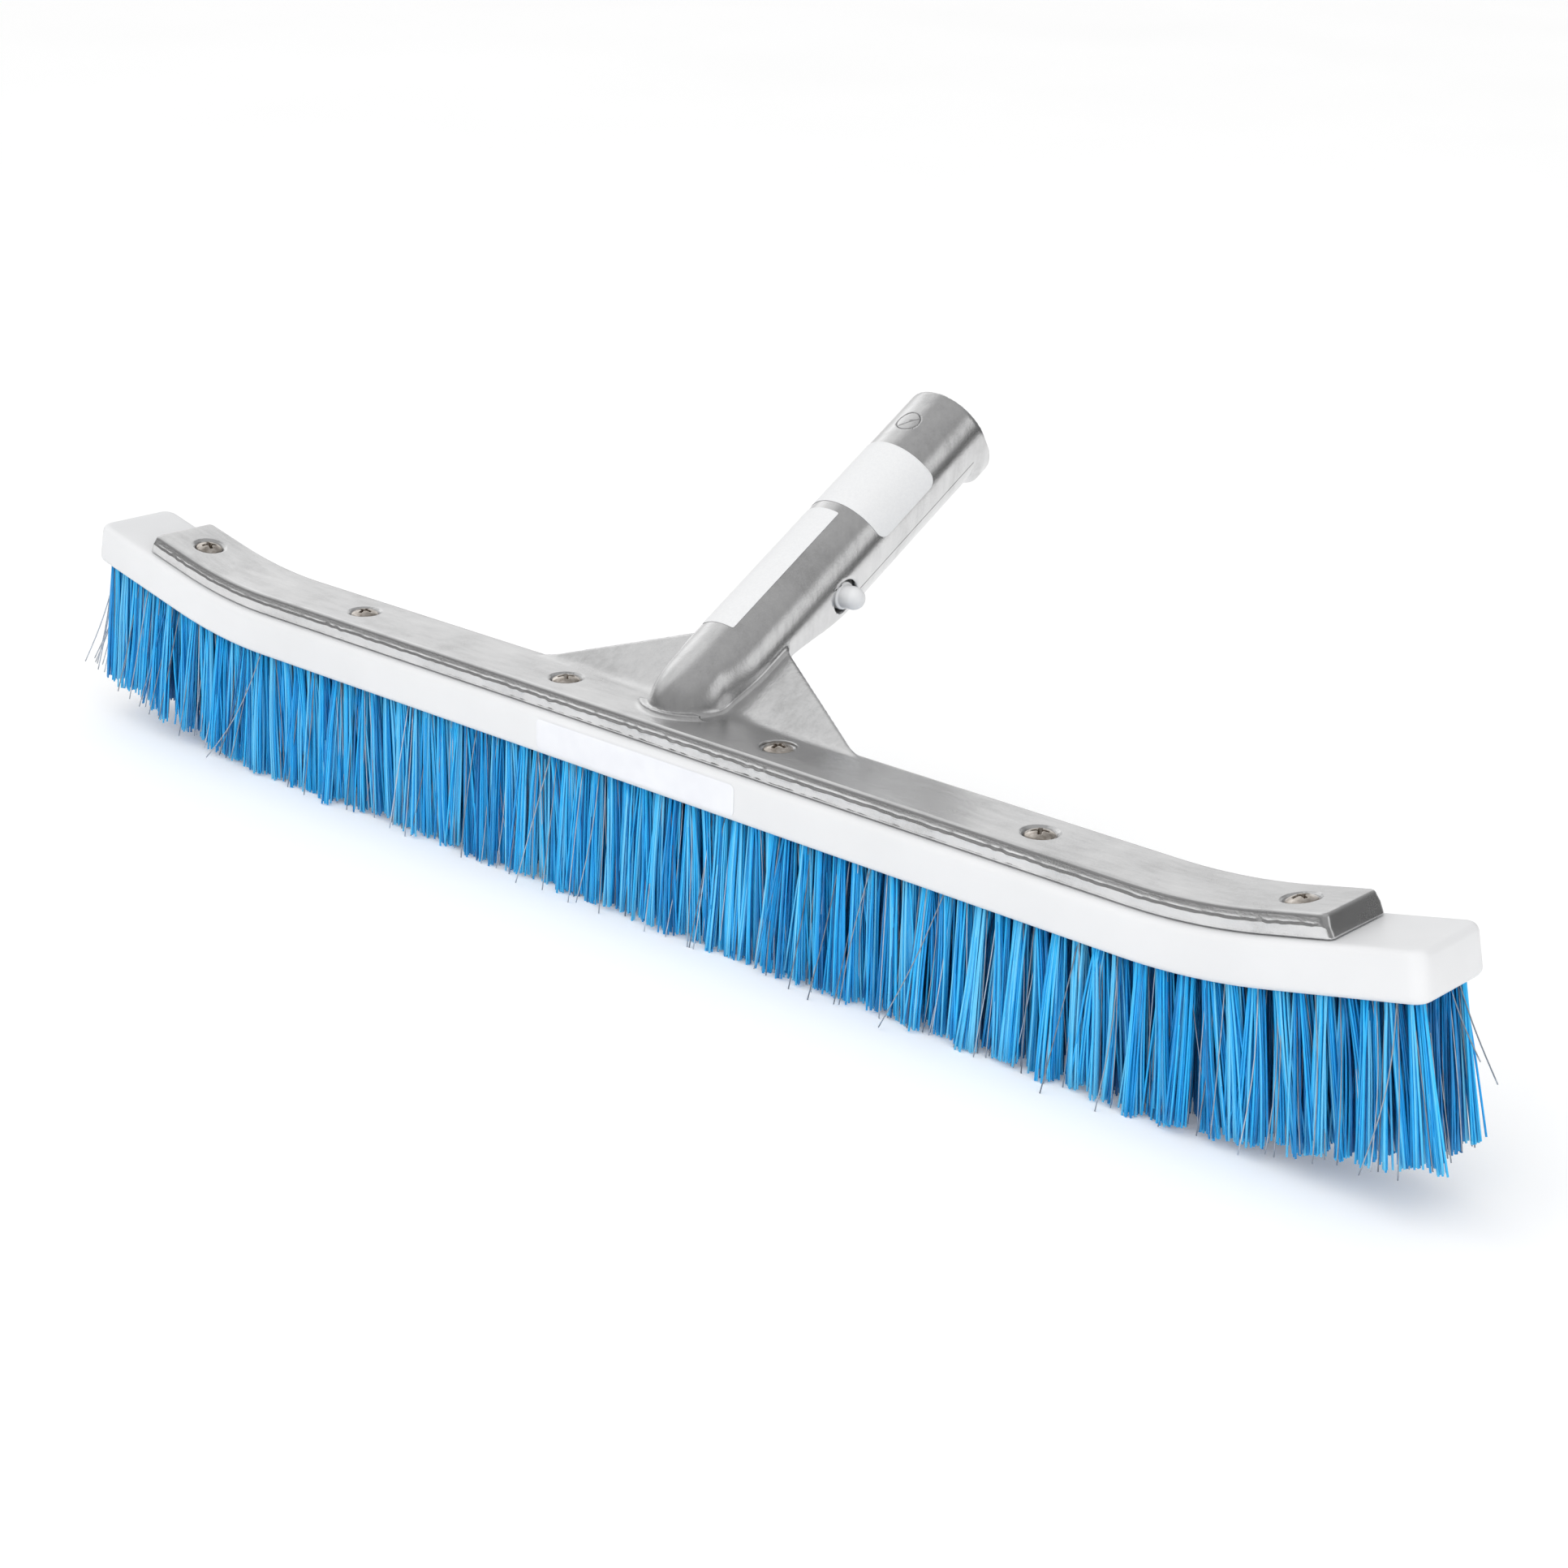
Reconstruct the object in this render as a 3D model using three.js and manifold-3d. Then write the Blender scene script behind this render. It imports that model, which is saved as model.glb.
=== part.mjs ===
// Pool wall brush with a cast aluminium back and a tube that a telescopic pole slides over.
// Millimetres, +Z up, +X along the brush, -Y towards the front, bristles pointing down.
// The origin is the centre of the flat face that the bristle tips are trimmed to.

import * as THREE from 'three';
import { mergeVertices } from 'three/addons/utils/BufferGeometryUtils.js';
import Module from 'manifold-3d';

const wasm = await Module();
wasm.setup();

// ---------------------------------------------------------------- driving dimensions

const FIT_GAP = 0.3;                 // between pieces that touch on the real brush
const FILM_GAP = 0.1;                // between a label and what it is stuck to
const OVERALL_LENGTH = 460;          // tip to tip of the moulded block, nominally 18 inches

// The back is straight in the middle and each end bends up, then runs straight.
const MIDDLE_HALF = 152;
const BEND_RADIUS = 163;             // at the plate's top face
const BEND_ANGLE = THREE.MathUtils.degToRad(12.5);

const PLATE = { half: 204.3, width: 21.7, thickness: 5.5, corner: 1.5, chamfer: 0.6 };
const PARTING_GROOVE = { drop: 2.7, depth: 0.5 };
const BLOCK = { width: 26.2, thickness: 11.8, corner: 3.5, chamfer: 1 };
const TUFTS = { columns: 81, perGroup: 3, length: 37.5, endMargin: 5, rootWidth: 21.6, tipWidth: 23.6 };

const SCREW = {
  places: [-191, -120, -38, 38, 120, 191],
  headRadius: 3.8,
  shankRadius: 1.95,
  sunk: 0.45,                        // head face below the plate's top face
  coneDepth: 2.4,
  rim: 0.35,
  dome: 0.35,
  pointLength: 2,
  length: 14,
};
const CROSS = { span: 4.4, arm: 0.9, depth: 1.3, tipDepth: 0.8 };

// The tube leans back from the plate. In its own frame x is the brush's X, z runs up
// its axis from the plate's top face and +y is its underside.
const TUBE = {
  lean: THREE.MathUtils.degToRad(60),
  footY: 11.35,
  length: 112.6,
  radius: 13,
  boreRadius: 10.2,
  boreFloor: 30,
  buried: 40,                        // length drawn below the plate, then cut away
};
const WELD_DEPTH = 1.5;              // the tube and webs run this far into the plate
const TAPER = { top: 58, bottom: 24.5, wall: 2.8 };
const TOE = { radius: 13.5, centreY: 9.6 };
const GUSSET = { foot: 53, rise: 23.3, thickness: 2.6, centreY: -0.1, toe: 0.6, overlap: 1 };
const LIP = { length: 4.5, offset: 2.6 };
const SPOT = { radius: 3.4, depth: 0.6, height: 99.8 };

// One-piece V-clip, split where it flexes: a bend and two legs with a button each.
const CLIP = {
  centreY: 1.6,
  width: 5,
  thickness: 1.8,
  bendHeight: 88,
  bendRadius: 3.3,
  legFoot: 44,
  legKnee: 53,
  legReach: 8.6,
  buttonHeight: 47.5,
  buttonRadius: 3.1,
  buttonReach: 18.4,
};
const BUTTON_ROOT = 0.5;             // the button's stem starts this far inside the leg
const SLOT = { bottom: 42.4, top: 52.2, width: 8 };

const TUBE_LABEL = { bottom: 65.5, top: 90.3, halfSweep: 80.3, centre: -90, thickness: 0.25 };
const SIDE_LABEL = { bottom: 16.3, top: 62.6, halfSweep: 28.5, centre: -100.5, thickness: 0.25 };
const BLOCK_LABEL = { width: 71, height: 8.4, thickness: 0.2 };

// ---------------------------------------------------------------- worked-out sizes

const blockTopDrop = PLATE.thickness + FIT_GAP;
const blockBottomDrop = blockTopDrop + BLOCK.thickness;
const tuftTopDrop = blockBottomDrop + FIT_GAP;
const tipDrop = tuftTopDrop + TUFTS.length;
const plateTop = tipDrop;

const straightTail = (OVERALL_LENGTH / 2 - MIDDLE_HALF
  - (BEND_RADIUS + blockBottomDrop) * Math.sin(BEND_ANGLE)) / Math.cos(BEND_ANGLE);
const blockHalf = MIDDLE_HALF + BEND_RADIUS * BEND_ANGLE + straightTail;
const tuftHalf = blockHalf - TUFTS.endMargin;
const tuftPitch = 2 * tuftHalf / (TUFTS.columns - 1);

// ---------------------------------------------------------------- the bent back line

// Point at run u along the plate's top face, drop below it, as [x, z].
function backLine(u, drop) {
  const side = Math.sign(u) || 1;
  const run = Math.abs(u);
  const angle = THREE.MathUtils.clamp((run - MIDDLE_HALF) / BEND_RADIUS, 0, BEND_ANGLE);
  const tail = Math.max(run - MIDDLE_HALF - BEND_RADIUS * BEND_ANGLE, 0);
  const flat = Math.min(run, MIDDLE_HALF);
  const x = flat + (BEND_RADIUS + drop) * Math.sin(angle) + tail * Math.cos(angle);
  const z = BEND_RADIUS - (BEND_RADIUS + drop) * Math.cos(angle) + tail * Math.sin(angle);
  return [side * x, plateTop + z];
}

class BackCurve extends THREE.Curve {
  constructor(half) {
    super();
    this.half = half;
  }

  getPoint(t, target = new THREE.Vector3()) {
    const [x, z] = backLine((2 * t - 1) * this.half, 0);
    return target.set(x, 0, z);
  }
}

// Frame standing on the plate's top face at run u, +Z square to it and +X outwards.
function frameOnBack(u) {
  const [x, z] = backLine(u, 0);
  const side = Math.sign(u) || 1;
  const bend = THREE.MathUtils.clamp((Math.abs(u) - MIDDLE_HALF) / BEND_RADIUS, 0, BEND_ANGLE);
  const frame = new THREE.Matrix4().makeTranslation(x, 0, z);
  frame.multiply(new THREE.Matrix4().makeRotationY(-side * bend));
  if (side < 0) frame.multiply(new THREE.Matrix4().makeRotationZ(Math.PI));
  return frame;
}

function tubeFrame() {
  const frame = new THREE.Matrix4().makeTranslation(0, TUBE.footY, plateTop);
  return frame.multiply(new THREE.Matrix4().makeRotationX(-TUBE.lean));
}

// ---------------------------------------------------------------- booleans and shape helpers

function solidOf(geometry, frame) {
  const shape = geometry.clone();
  shape.deleteAttribute('normal');
  shape.deleteAttribute('uv');
  if (frame) shape.applyMatrix4(frame);
  const merged = mergeVertices(shape, 1e-5);
  const mesh = new wasm.Mesh({
    numProp: 3,
    vertProperties: new Float32Array(merged.attributes.position.array),
    triVerts: new Uint32Array(merged.index.array),
  });
  return new wasm.Manifold(mesh);
}

function geometryOf(solid) {
  const mesh = solid.getMesh();
  const geometry = new THREE.BufferGeometry();
  geometry.setAttribute('position', new THREE.BufferAttribute(mesh.vertProperties, 3));
  geometry.setIndex(new THREE.BufferAttribute(mesh.triVerts, 1));
  geometry.computeVertexNormals();
  return geometry;
}

function outline(points) {
  return new THREE.Shape(points.map(([a, b]) => new THREE.Vector2(a, b)));
}

function extrude(shape, depth, curveSegments = 12) {
  const geometry = new THREE.ExtrudeGeometry(shape, { depth, bevelEnabled: false, curveSegments });
  return geometry.translate(0, 0, -depth / 2);
}

// Outline drawn in X and Z, given depth along Y.
function extrudeAcross(shape, depth, curveSegments) {
  return extrude(shape, depth, curveSegments).rotateX(Math.PI / 2);
}

// Outline drawn in Y and Z, given depth along X.
function extrudeAlong(shape, depth, curveSegments) {
  return extrude(shape, depth, curveSegments).rotateY(Math.PI / 2).rotateX(Math.PI / 2);
}

function upright(radius, bottom, top, segments, topRadius = radius) {
  const height = top - bottom;
  const geometry = new THREE.CylinderGeometry(topRadius, radius, height, segments);
  return geometry.rotateX(Math.PI / 2).translate(0, 0, bottom + height / 2);
}

// Section given as [distance towards the front, drop], swept along the back line.
function sweepAlongBack(section, half) {
  const extrudePath = new BackCurve(half);
  return new THREE.ExtrudeGeometry(outline(section), { extrudePath, steps: 64, bevelEnabled: false });
}

// Cuts both ends square to the back line, with round corners in plan.
function trimEnds(solid, half, width, corner) {
  const edge = width / 2;
  const plan = new THREE.Shape();
  plan.moveTo(-2 * OVERALL_LENGTH, -edge);
  plan.lineTo(-corner, -edge);
  plan.absarc(-corner, -edge + corner, corner, -Math.PI / 2, 0, false);
  plan.absarc(-corner, edge - corner, corner, 0, Math.PI / 2, false);
  plan.lineTo(-2 * OVERALL_LENGTH, edge);
  const cutter = extrude(plan, OVERALL_LENGTH, 8);
  const cutters = [-half, half].map((u) => solidOf(cutter, frameOnBack(u)));
  return cutters.reduce((trimmed, cut) => trimmed.intersect(cut), solid);
}

// ---------------------------------------------------------------- cast back: plate, tube and webs

function plateSolid() {
  const edge = PLATE.width / 2;
  const { chamfer, thickness } = PLATE;
  const { drop, depth } = PARTING_GROOVE;
  const front = [
    [edge - chamfer, 0], [edge, chamfer], [edge, drop - depth], [edge - depth, drop],
    [edge, drop + depth], [edge, thickness],
  ];
  const back = front.map(([across, down]) => [-across, down]).reverse();
  const section = [...front, ...back];
  const swept = solidOf(sweepAlongBack(section, PLATE.half + PLATE.corner));
  return trimEnds(swept, PLATE.half, PLATE.width, PLATE.corner);
}

function tubeOutside() {
  const barrel = solidOf(upright(TUBE.radius, -TUBE.buried, TUBE.length, 60));
  const back = GUSSET.centreY + GUSSET.thickness / 2;
  const far = 3 * TUBE.radius;
  const low = -2 * TUBE.buried;
  const kept = outline([
    [-far, low], [back, low], [back, TAPER.bottom], [TUBE.radius, TAPER.top],
    [far, TAPER.top], [far, TUBE.length], [-far, TUBE.length],
  ]);
  return barrel.intersect(solidOf(extrudeAlong(kept, 4 * TUBE.radius)));
}

function toeClip() {
  const plan = new THREE.Shape();
  plan.moveTo(TOE.radius, 2 * TUBE.length);
  plan.lineTo(-TOE.radius, 2 * TUBE.length);
  plan.lineTo(-TOE.radius, TOE.centreY);
  plan.absarc(0, TOE.centreY, TOE.radius, Math.PI, 2 * Math.PI, false);
  return solidOf(extrude(plan, 4 * TUBE.length, 24));
}

function gussetSolid() {
  const { foot, rise, thickness, centreY, toe } = GUSSET;
  const shoulder = TUBE.radius - GUSSET.overlap;
  const low = -2 * WELD_DEPTH;
  const web = outline([
    [-foot, low], [foot, low], [foot, -toe], [shoulder, rise], [-shoulder, rise], [-foot, -toe],
  ]);
  return solidOf(extrudeAcross(web, thickness).translate(0, centreY, 0));
}

function lipSolid() {
  const ring = upright(TUBE.radius, TUBE.length - LIP.length, TUBE.length, 60);
  const cuff = solidOf(ring.translate(0, LIP.offset, 0));
  const start = TUBE.length - LIP.length;
  const underside = outline([
    [0, start], [TUBE.radius, start], [TUBE.radius + LIP.offset, start + LIP.offset],
    [2 * TUBE.radius, TUBE.length], [0, TUBE.length],
  ]);
  return cuff.intersect(solidOf(extrudeAlong(underside, 4 * TUBE.radius)));
}

// Bore open at the top; its floor slopes to keep the tapered underside's wall thickness.
function boreSolid() {
  const back = GUSSET.centreY + GUSSET.thickness / 2;
  const slope = (TUBE.radius - back) / (TAPER.top - TAPER.bottom);
  const lift = TAPER.wall * Math.hypot(1, slope);
  const slopeY = (height) => back + (height - TAPER.bottom) * slope - lift;
  const far = 2 * TUBE.radius;
  const bore = solidOf(upright(TUBE.boreRadius, TUBE.boreFloor, TUBE.length + 1, 48));
  const kept = outline([
    [-far, TUBE.boreFloor - 1], [slopeY(TUBE.boreFloor - 1), TUBE.boreFloor - 1],
    [slopeY(TUBE.length + 2), TUBE.length + 2], [-far, TUBE.length + 2],
  ]);
  return bore.intersect(solidOf(extrudeAlong(kept, 4 * TUBE.radius)));
}

function buttonSlots() {
  const round = SLOT.width / 2;
  const slot = new THREE.Shape();
  slot.absarc(CLIP.centreY, SLOT.top - round, round, 0, Math.PI, false);
  slot.absarc(CLIP.centreY, SLOT.bottom + round, round, Math.PI, 2 * Math.PI, false);
  return solidOf(extrudeAlong(slot, 4 * TUBE.radius, 8));
}

function spotRecess() {
  const disc = new THREE.CylinderGeometry(SPOT.radius, SPOT.radius, 2, 24);
  return solidOf(disc.translate(0, -TUBE.radius + SPOT.depth - 1, SPOT.height));
}

function screwSeat(u) {
  const slope = (SCREW.headRadius - SCREW.shankRadius) / SCREW.coneDepth;
  const proud = 0.5;
  const mouth = SCREW.headRadius + SCREW.sunk * slope + FIT_GAP;
  const hole = SCREW.shankRadius + FIT_GAP;
  const coneDepth = (mouth - hole) / slope;
  const cone = upright(hole, -coneDepth, proud, 32, mouth + proud * slope);
  const drill = upright(hole, -2 * PLATE.thickness, proud, 24);
  const frame = frameOnBack(u);
  return solidOf(cone, frame).add(solidOf(drill, frame));
}

function aboveWeld() {
  const size = 2 * OVERALL_LENGTH;
  const space = new THREE.BoxGeometry(size, size, size);
  return solidOf(space.translate(0, 0, plateTop - WELD_DEPTH + size / 2));
}

function handleCasting() {
  const frame = tubeFrame();
  const foot = tubeOutside().transform(frame.elements).intersect(toeClip());
  const webs = gussetSolid().add(lipSolid()).transform(frame.elements);
  const inclined = foot.add(webs).intersect(aboveWeld());
  const cuts = boreSolid().add(buttonSlots()).add(spotRecess()).transform(frame.elements);
  const casting = plateSolid().add(inclined).subtract(cuts);
  return SCREW.places.reduce((body, u) => body.subtract(screwSeat(u)), casting);
}

// ---------------------------------------------------------------- block, screws and bristles

function bristleBlock() {
  const edge = BLOCK.width / 2;
  const c = BLOCK.chamfer;
  const section = [
    [-edge + c, blockTopDrop], [edge - c, blockTopDrop], [edge, blockTopDrop + c],
    [edge, blockBottomDrop - c], [edge - c, blockBottomDrop], [-edge + c, blockBottomDrop],
    [-edge, blockBottomDrop - c], [-edge, blockTopDrop + c],
  ];
  const swept = solidOf(sweepAlongBack(section, blockHalf + BLOCK.corner));
  const block = trimEnds(swept, blockHalf, BLOCK.width, BLOCK.corner);
  const pilot = upright(SCREW.shankRadius + FIT_GAP, -SCREW.length - 1, 0, 16);
  return SCREW.places.reduce((body, u) => body.subtract(solidOf(pilot, frameOnBack(u))), block);
}

// Countersunk cross-recess screw, its head face at z = 0 and its point down.
function backScrew() {
  const { headRadius, shankRadius, coneDepth, length, rim, dome, pointLength } = SCREW;
  const profile = outline([
    [0, -length], [shankRadius * 0.4, -length], [shankRadius, -length + pointLength],
    [shankRadius, -coneDepth - rim], [headRadius, -rim], [headRadius, -rim / 3],
    [headRadius - rim, rim / 3], [headRadius / 2, dome * 0.8], [0, dome],
  ]);
  const body = solidOf(new THREE.LatheGeometry(profile.getPoints(), 24).rotateX(Math.PI / 2));
  const arm = new THREE.BoxGeometry(CROSS.span, CROSS.arm, 2 * CROSS.depth);
  const crossed = solidOf(arm).add(solidOf(arm.clone().rotateZ(Math.PI / 2)));
  const tip = solidOf(upright(CROSS.arm / 2, -CROSS.depth - CROSS.tipDepth, 0, 8, CROSS.arm));
  return body.subtract(crossed.add(tip));
}

// Outer shape of the tufts in a few neighbouring columns.
function tuftGroup(index) {
  const half = TUFTS.perGroup / 2 * tuftPitch;
  const from = index * 2 * half - half + FIT_GAP / 2;
  const to = index * 2 * half + half - FIT_GAP / 2;
  const side = outline([backLine(from, tipDrop), backLine(to, tipDrop),
    backLine(to, tuftTopDrop), backLine(from, tuftTopDrop)]);
  return solidOf(extrudeAcross(side, (TUFTS.rootWidth + TUFTS.tipWidth) / 2));
}

// ---------------------------------------------------------------- V-clip inside the tube

function acrossClip(shape) {
  return extrudeAcross(shape, CLIP.width, 10).translate(0, CLIP.centreY, 0);
}

function clipBend() {
  const inner = CLIP.bendRadius - CLIP.thickness;
  const bend = new THREE.Shape();
  bend.absarc(0, CLIP.bendHeight, CLIP.bendRadius, 0, Math.PI, false);
  bend.absarc(0, CLIP.bendHeight, inner, Math.PI, 0, true);
  return solidOf(acrossClip(bend));
}

// Leg on the side given by -1 or 1, with its round-ended button.
function clipLeg(side) {
  const { thickness, bendRadius, legReach, legKnee, legFoot, buttonReach, buttonRadius } = CLIP;
  const top = CLIP.bendHeight - FIT_GAP;
  const bar = outline([
    [side * legReach, legFoot], [side * legReach, legKnee], [side * bendRadius, top],
    [side * (bendRadius - thickness), top], [side * (legReach - thickness), legKnee],
    [side * (legReach - thickness), legFoot],
  ]);
  const stem = buttonReach - buttonRadius - legReach + BUTTON_ROOT;
  const button = outline([[0, 0], [buttonRadius, 0], [buttonRadius, stem]]);
  button.absarc(0, stem, buttonRadius, 0, Math.PI / 2, false);
  const lathe = new THREE.LatheGeometry(button.getPoints(8), 24).rotateZ(-side * Math.PI / 2);
  const knob = lathe.translate(side * (legReach - BUTTON_ROOT), CLIP.centreY, CLIP.buttonHeight);
  return solidOf(acrossClip(bar)).add(solidOf(knob));
}

// ---------------------------------------------------------------- labels

function wrappedLabel({ bottom, top, halfSweep, centre, thickness }) {
  const inner = TUBE.radius + FILM_GAP;
  const start = THREE.MathUtils.degToRad(centre - halfSweep);
  const end = THREE.MathUtils.degToRad(centre + halfSweep);
  const band = new THREE.Shape();
  band.absarc(0, 0, inner + thickness, start, end, false);
  band.absarc(0, 0, inner, end, start, true);
  return solidOf(extrude(band, top - bottom, 24).translate(0, 0, (top + bottom) / 2));
}

function blockLabel() {
  const { width, height, thickness } = BLOCK_LABEL;
  const film = new THREE.BoxGeometry(width, thickness, height);
  const y = -BLOCK.width / 2 - FILM_GAP - thickness / 2;
  const z = plateTop - (blockTopDrop + blockBottomDrop) / 2;
  return solidOf(film.translate(0, y, z));
}

// ---------------------------------------------------------------- assembly

function material(color, roughness, metalness) {
  return new THREE.MeshStandardMaterial({ color, roughness, metalness });
}

const castAluminium = () => material(0xb9bbbd, 0.38, 1);
const stainless = () => material(0xc9c4bc, 0.25, 1);
const whitePlastic = () => material(0xf4f5f7, 0.35, 0);
const paperLabel = () => material(0xf7f8f9, 0.5, 0);
const clearFilm = () => material(0xf2f4fa, 0.2, 0);
const bluePolyester = () => material(0x2a86d6, 0.55, 0);

function piece(name, solid, look) {
  const mesh = new THREE.Mesh(geometryOf(solid), look);
  mesh.name = name;
  return mesh;
}

const brush = new THREE.Group();
brush.add(piece('handle_casting', handleCasting(), castAluminium()));
brush.add(piece('bristle_block', bristleBlock(), whitePlastic()));

SCREW.places.forEach((u, i) => {
  const seat = frameOnBack(u).multiply(new THREE.Matrix4().makeTranslation(0, 0, -SCREW.sunk));
  const screw = piece(`back_screw_${i + 1}`, backScrew(), stainless());
  screw.applyMatrix4(seat);
  brush.add(screw);
});

const handle = new THREE.Group();
handle.applyMatrix4(tubeFrame());
handle.add(piece('clip_bend', clipBend(), whitePlastic()));
handle.add(piece('clip_leg_left', clipLeg(-1), whitePlastic()));
handle.add(piece('clip_leg_right', clipLeg(1), whitePlastic()));
handle.add(piece('tube_label', wrappedLabel(TUBE_LABEL), paperLabel()));
handle.add(piece('side_label', wrappedLabel(SIDE_LABEL), paperLabel()));
brush.add(handle);
brush.add(piece('block_label', blockLabel(), clearFilm()));

const groups = TUFTS.columns / TUFTS.perGroup;
for (let i = 0; i < groups; i += 1) {
  const number = String(i + 1).padStart(2, '0');
  brush.add(piece(`tuft_group_${number}`, tuftGroup(i - (groups - 1) / 2), bluePolyester()));
}

export default brush;
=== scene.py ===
"""Pool wall brush: cast aluminium back with a pole tube, white block, blue and steel bristles.

Sizes are in millimetres until a mesh is made. The back line is straight in the middle and
bends up to a straight tail at each end. A point on the back is (run along the plate's top
face, y, height above that face); a point on the tube is (x, v across it towards its
underside, t up its axis from the plate's top face).
"""

import itertools
import math

import bmesh
import bpy
import numpy as np
from mathutils import Matrix, Vector


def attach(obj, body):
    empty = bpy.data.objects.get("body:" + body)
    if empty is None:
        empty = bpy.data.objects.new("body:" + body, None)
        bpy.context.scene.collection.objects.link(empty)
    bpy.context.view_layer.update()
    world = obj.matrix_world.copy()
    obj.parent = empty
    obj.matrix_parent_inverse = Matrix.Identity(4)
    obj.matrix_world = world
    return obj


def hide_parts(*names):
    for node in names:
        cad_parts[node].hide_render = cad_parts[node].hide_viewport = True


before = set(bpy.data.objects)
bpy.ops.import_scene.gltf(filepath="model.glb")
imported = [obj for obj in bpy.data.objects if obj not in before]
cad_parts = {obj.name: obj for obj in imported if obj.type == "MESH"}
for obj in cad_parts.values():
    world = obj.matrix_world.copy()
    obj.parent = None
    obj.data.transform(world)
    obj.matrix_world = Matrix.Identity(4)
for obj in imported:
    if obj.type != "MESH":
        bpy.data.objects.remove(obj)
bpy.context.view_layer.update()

MM = 0.001
SIDES = ((-1, "left"), (1, "right"))

# ---------------- driving dimensions

OVERALL_LENGTH = 460.0
MIDDLE_HALF = 152.0
BEND_RADIUS = 163.0
BEND_ANGLE = math.radians(12.5)

PLATE_HALF = 204.3
PLATE_WIDTH = 21.7
PLATE_THICKNESS = 5.5
PLATE_CORNER = 1.5
PARTING_DROP = 2.8
UPPER_DRAFT = 0.27
LOWER_DRAFT = 0.06
ROUGHEST_RUN = 30.0
ROUGH_REACH = 95.0
SEAM_PUSH = 0.34
GROOVE_DEPTH = 0.2
GROOVE_RISE = 0.75
FLASH_RISE = 0.35
FLASH_LEAST = 0.08
FLASH_MORE = 0.2

FIT_GAP = 0.3
BLOCK_WIDTH = 26.2
BLOCK_THICKNESS = 11.8
BLOCK_CORNER = 4.0
BLOCK_EDGE = 2.0

TUFT_COLUMNS = 81
TUFT_ROWS = 4
COLUMNS_PER_GROUP = 3
ROW_PITCH = 5.5
TUFT_RADIUS = 1.75
TUFT_END_MARGIN = 5.0
BRISTLE_LENGTH = 37.5
ROOT_SINK = 0.8
FILAMENT_RADIUS = 0.27
WIRE_RADIUS = 0.17
FILAMENTS_PER_TUFT = 38
WIRES_PER_TUFT = 3
END_FAN_WIRES = 15

# How far tips lean from their roots, as (along the run, across it): standard deviations in mm.
TUFT_LEAN = (0.8, 0.5)
CLUMP_LEAN = (1.5, 0.8)
FILAMENT_LEAN = (0.45, 0.4)
STRAY_LEAN = (2.2, 1.2)
WIRE_LEAN = (1.9, 1.2)
# Shares of the filaments that stray and of the outer wires that splay, and by how many mm.
STRAY_SHARE = 0.1
SPLAYED_SHARE = 0.4
WIRE_SPLAY = (1.5, 6.5)
# Outward move of a tip per mm from its tuft's middle and from the brush's middle line, and the
# share of the back's bend that end tufts don't follow.
TUFT_FLARE = 0.45
ROW_FLARE = 0.08
END_UPRIGHT = 0.3

SCREW_RUNS = (-191.0, -120.0, -38.0, 38.0, 120.0, 191.0)
SCREW_TURNS = (70.0, 15.0, 52.0, 5.0, 33.0, 61.0)
SCREW_HEAD = 3.8
SCREW_SHANK = 1.95
SCREW_CONE = 2.4
SCREW_LENGTH = 14.0
SCREW_SUNK = 0.45
SCREW_DOME = 1.1
SCREW_RIM = 0.35
RECESS_DEPTH = 1.9
# Half sizes of the cross recess at the dome's top, and how much each narrows per mm of depth.
RECESS_ARM = (2.35, 0.45)
RECESS_SLIT = (0.5, 0.1)
RECESS_CORE = (1.35, 0.5)
SEAT_GAP = 0.5
COUNTERBORE_RADIUS = 4.7
COUNTERBORE_DEPTHS = (0.35, 0.25, 0.3, 0.85, 0.3, 0.35)

TUBE_LEAN = math.radians(60)
TUBE_FOOT_Y = 11.35
TUBE_LENGTH = 112.6
TUBE_RADIUS = 13.0
BORE_RADIUS = 10.2
BORE_FLOOR = 30.0
TAPER_TOP = 58.0
TAPER_BOTTOM = 24.5
TAPER_WALL = 2.8
TOE_RADIUS = 13.9
TOE_Y = 9.6
TOE_ROUNDING = 9.0
TOE_FADE = 7.0
TOE_RIM = 0.25
TOE_RIM_RISE = 1.1
WEB_FOOT = 53.0
WEB_RISE = 23.3
WEB_THICKNESS = 2.6
WEB_V = -0.1
LIP_LENGTH = 4.5
LIP_RAMP = 2.4
LIP_OFFSET = 2.6
LIP_CLEARANCE = 4.0
SPOT_T = 99.8
SPOT_RADIUS = 3.4
SPOT_DEPTH = 0.6
SPOT_GAP = 0.18
TUBE_PARTING_V = 3.8
SEAM_WIDTH = 0.3
SEAM_RISE = 0.1
WELD_DEPTH = 1.5
TUBE_GRAIN_HEIGHT = 0.5

CLIP_V = 1.6
CLIP_WIDTH = 5.0
CLIP_THICKNESS = 1.8
CLIP_BEND_T = 88.0
CLIP_BEND_RADIUS = 3.3
CLIP_FOOT_T = 44.0
CLIP_KNEE_T = 53.0
CLIP_REACH = 8.6
BUTTON_T = 47.5
BUTTON_RADIUS = 3.1
BUTTON_REACH = 18.4
COLLAR_RADIUS = 3.75
COLLAR_REACH = 12.3
SLOT_BOTTOM = 42.4
SLOT_TOP = 52.2
SLOT_RADIUS = 4.0

TUBE_LABEL = {"bottom": 65.5, "top": 90.3, "centre": -90.0, "half_sweep": 80.3, "corner": 3.0}
SIDE_LABEL = {"bottom": 16.3, "top": 62.6, "centre": -100.5, "half_sweep": 28.5, "corner": 0.6}
LABEL_LIFT = 0.04
LABEL_THICKNESS = 0.09
BLOCK_LABEL_LENGTH = 71.0
BLOCK_LABEL_HEIGHT = 8.4

# ---------------- worked-out sizes

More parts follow.
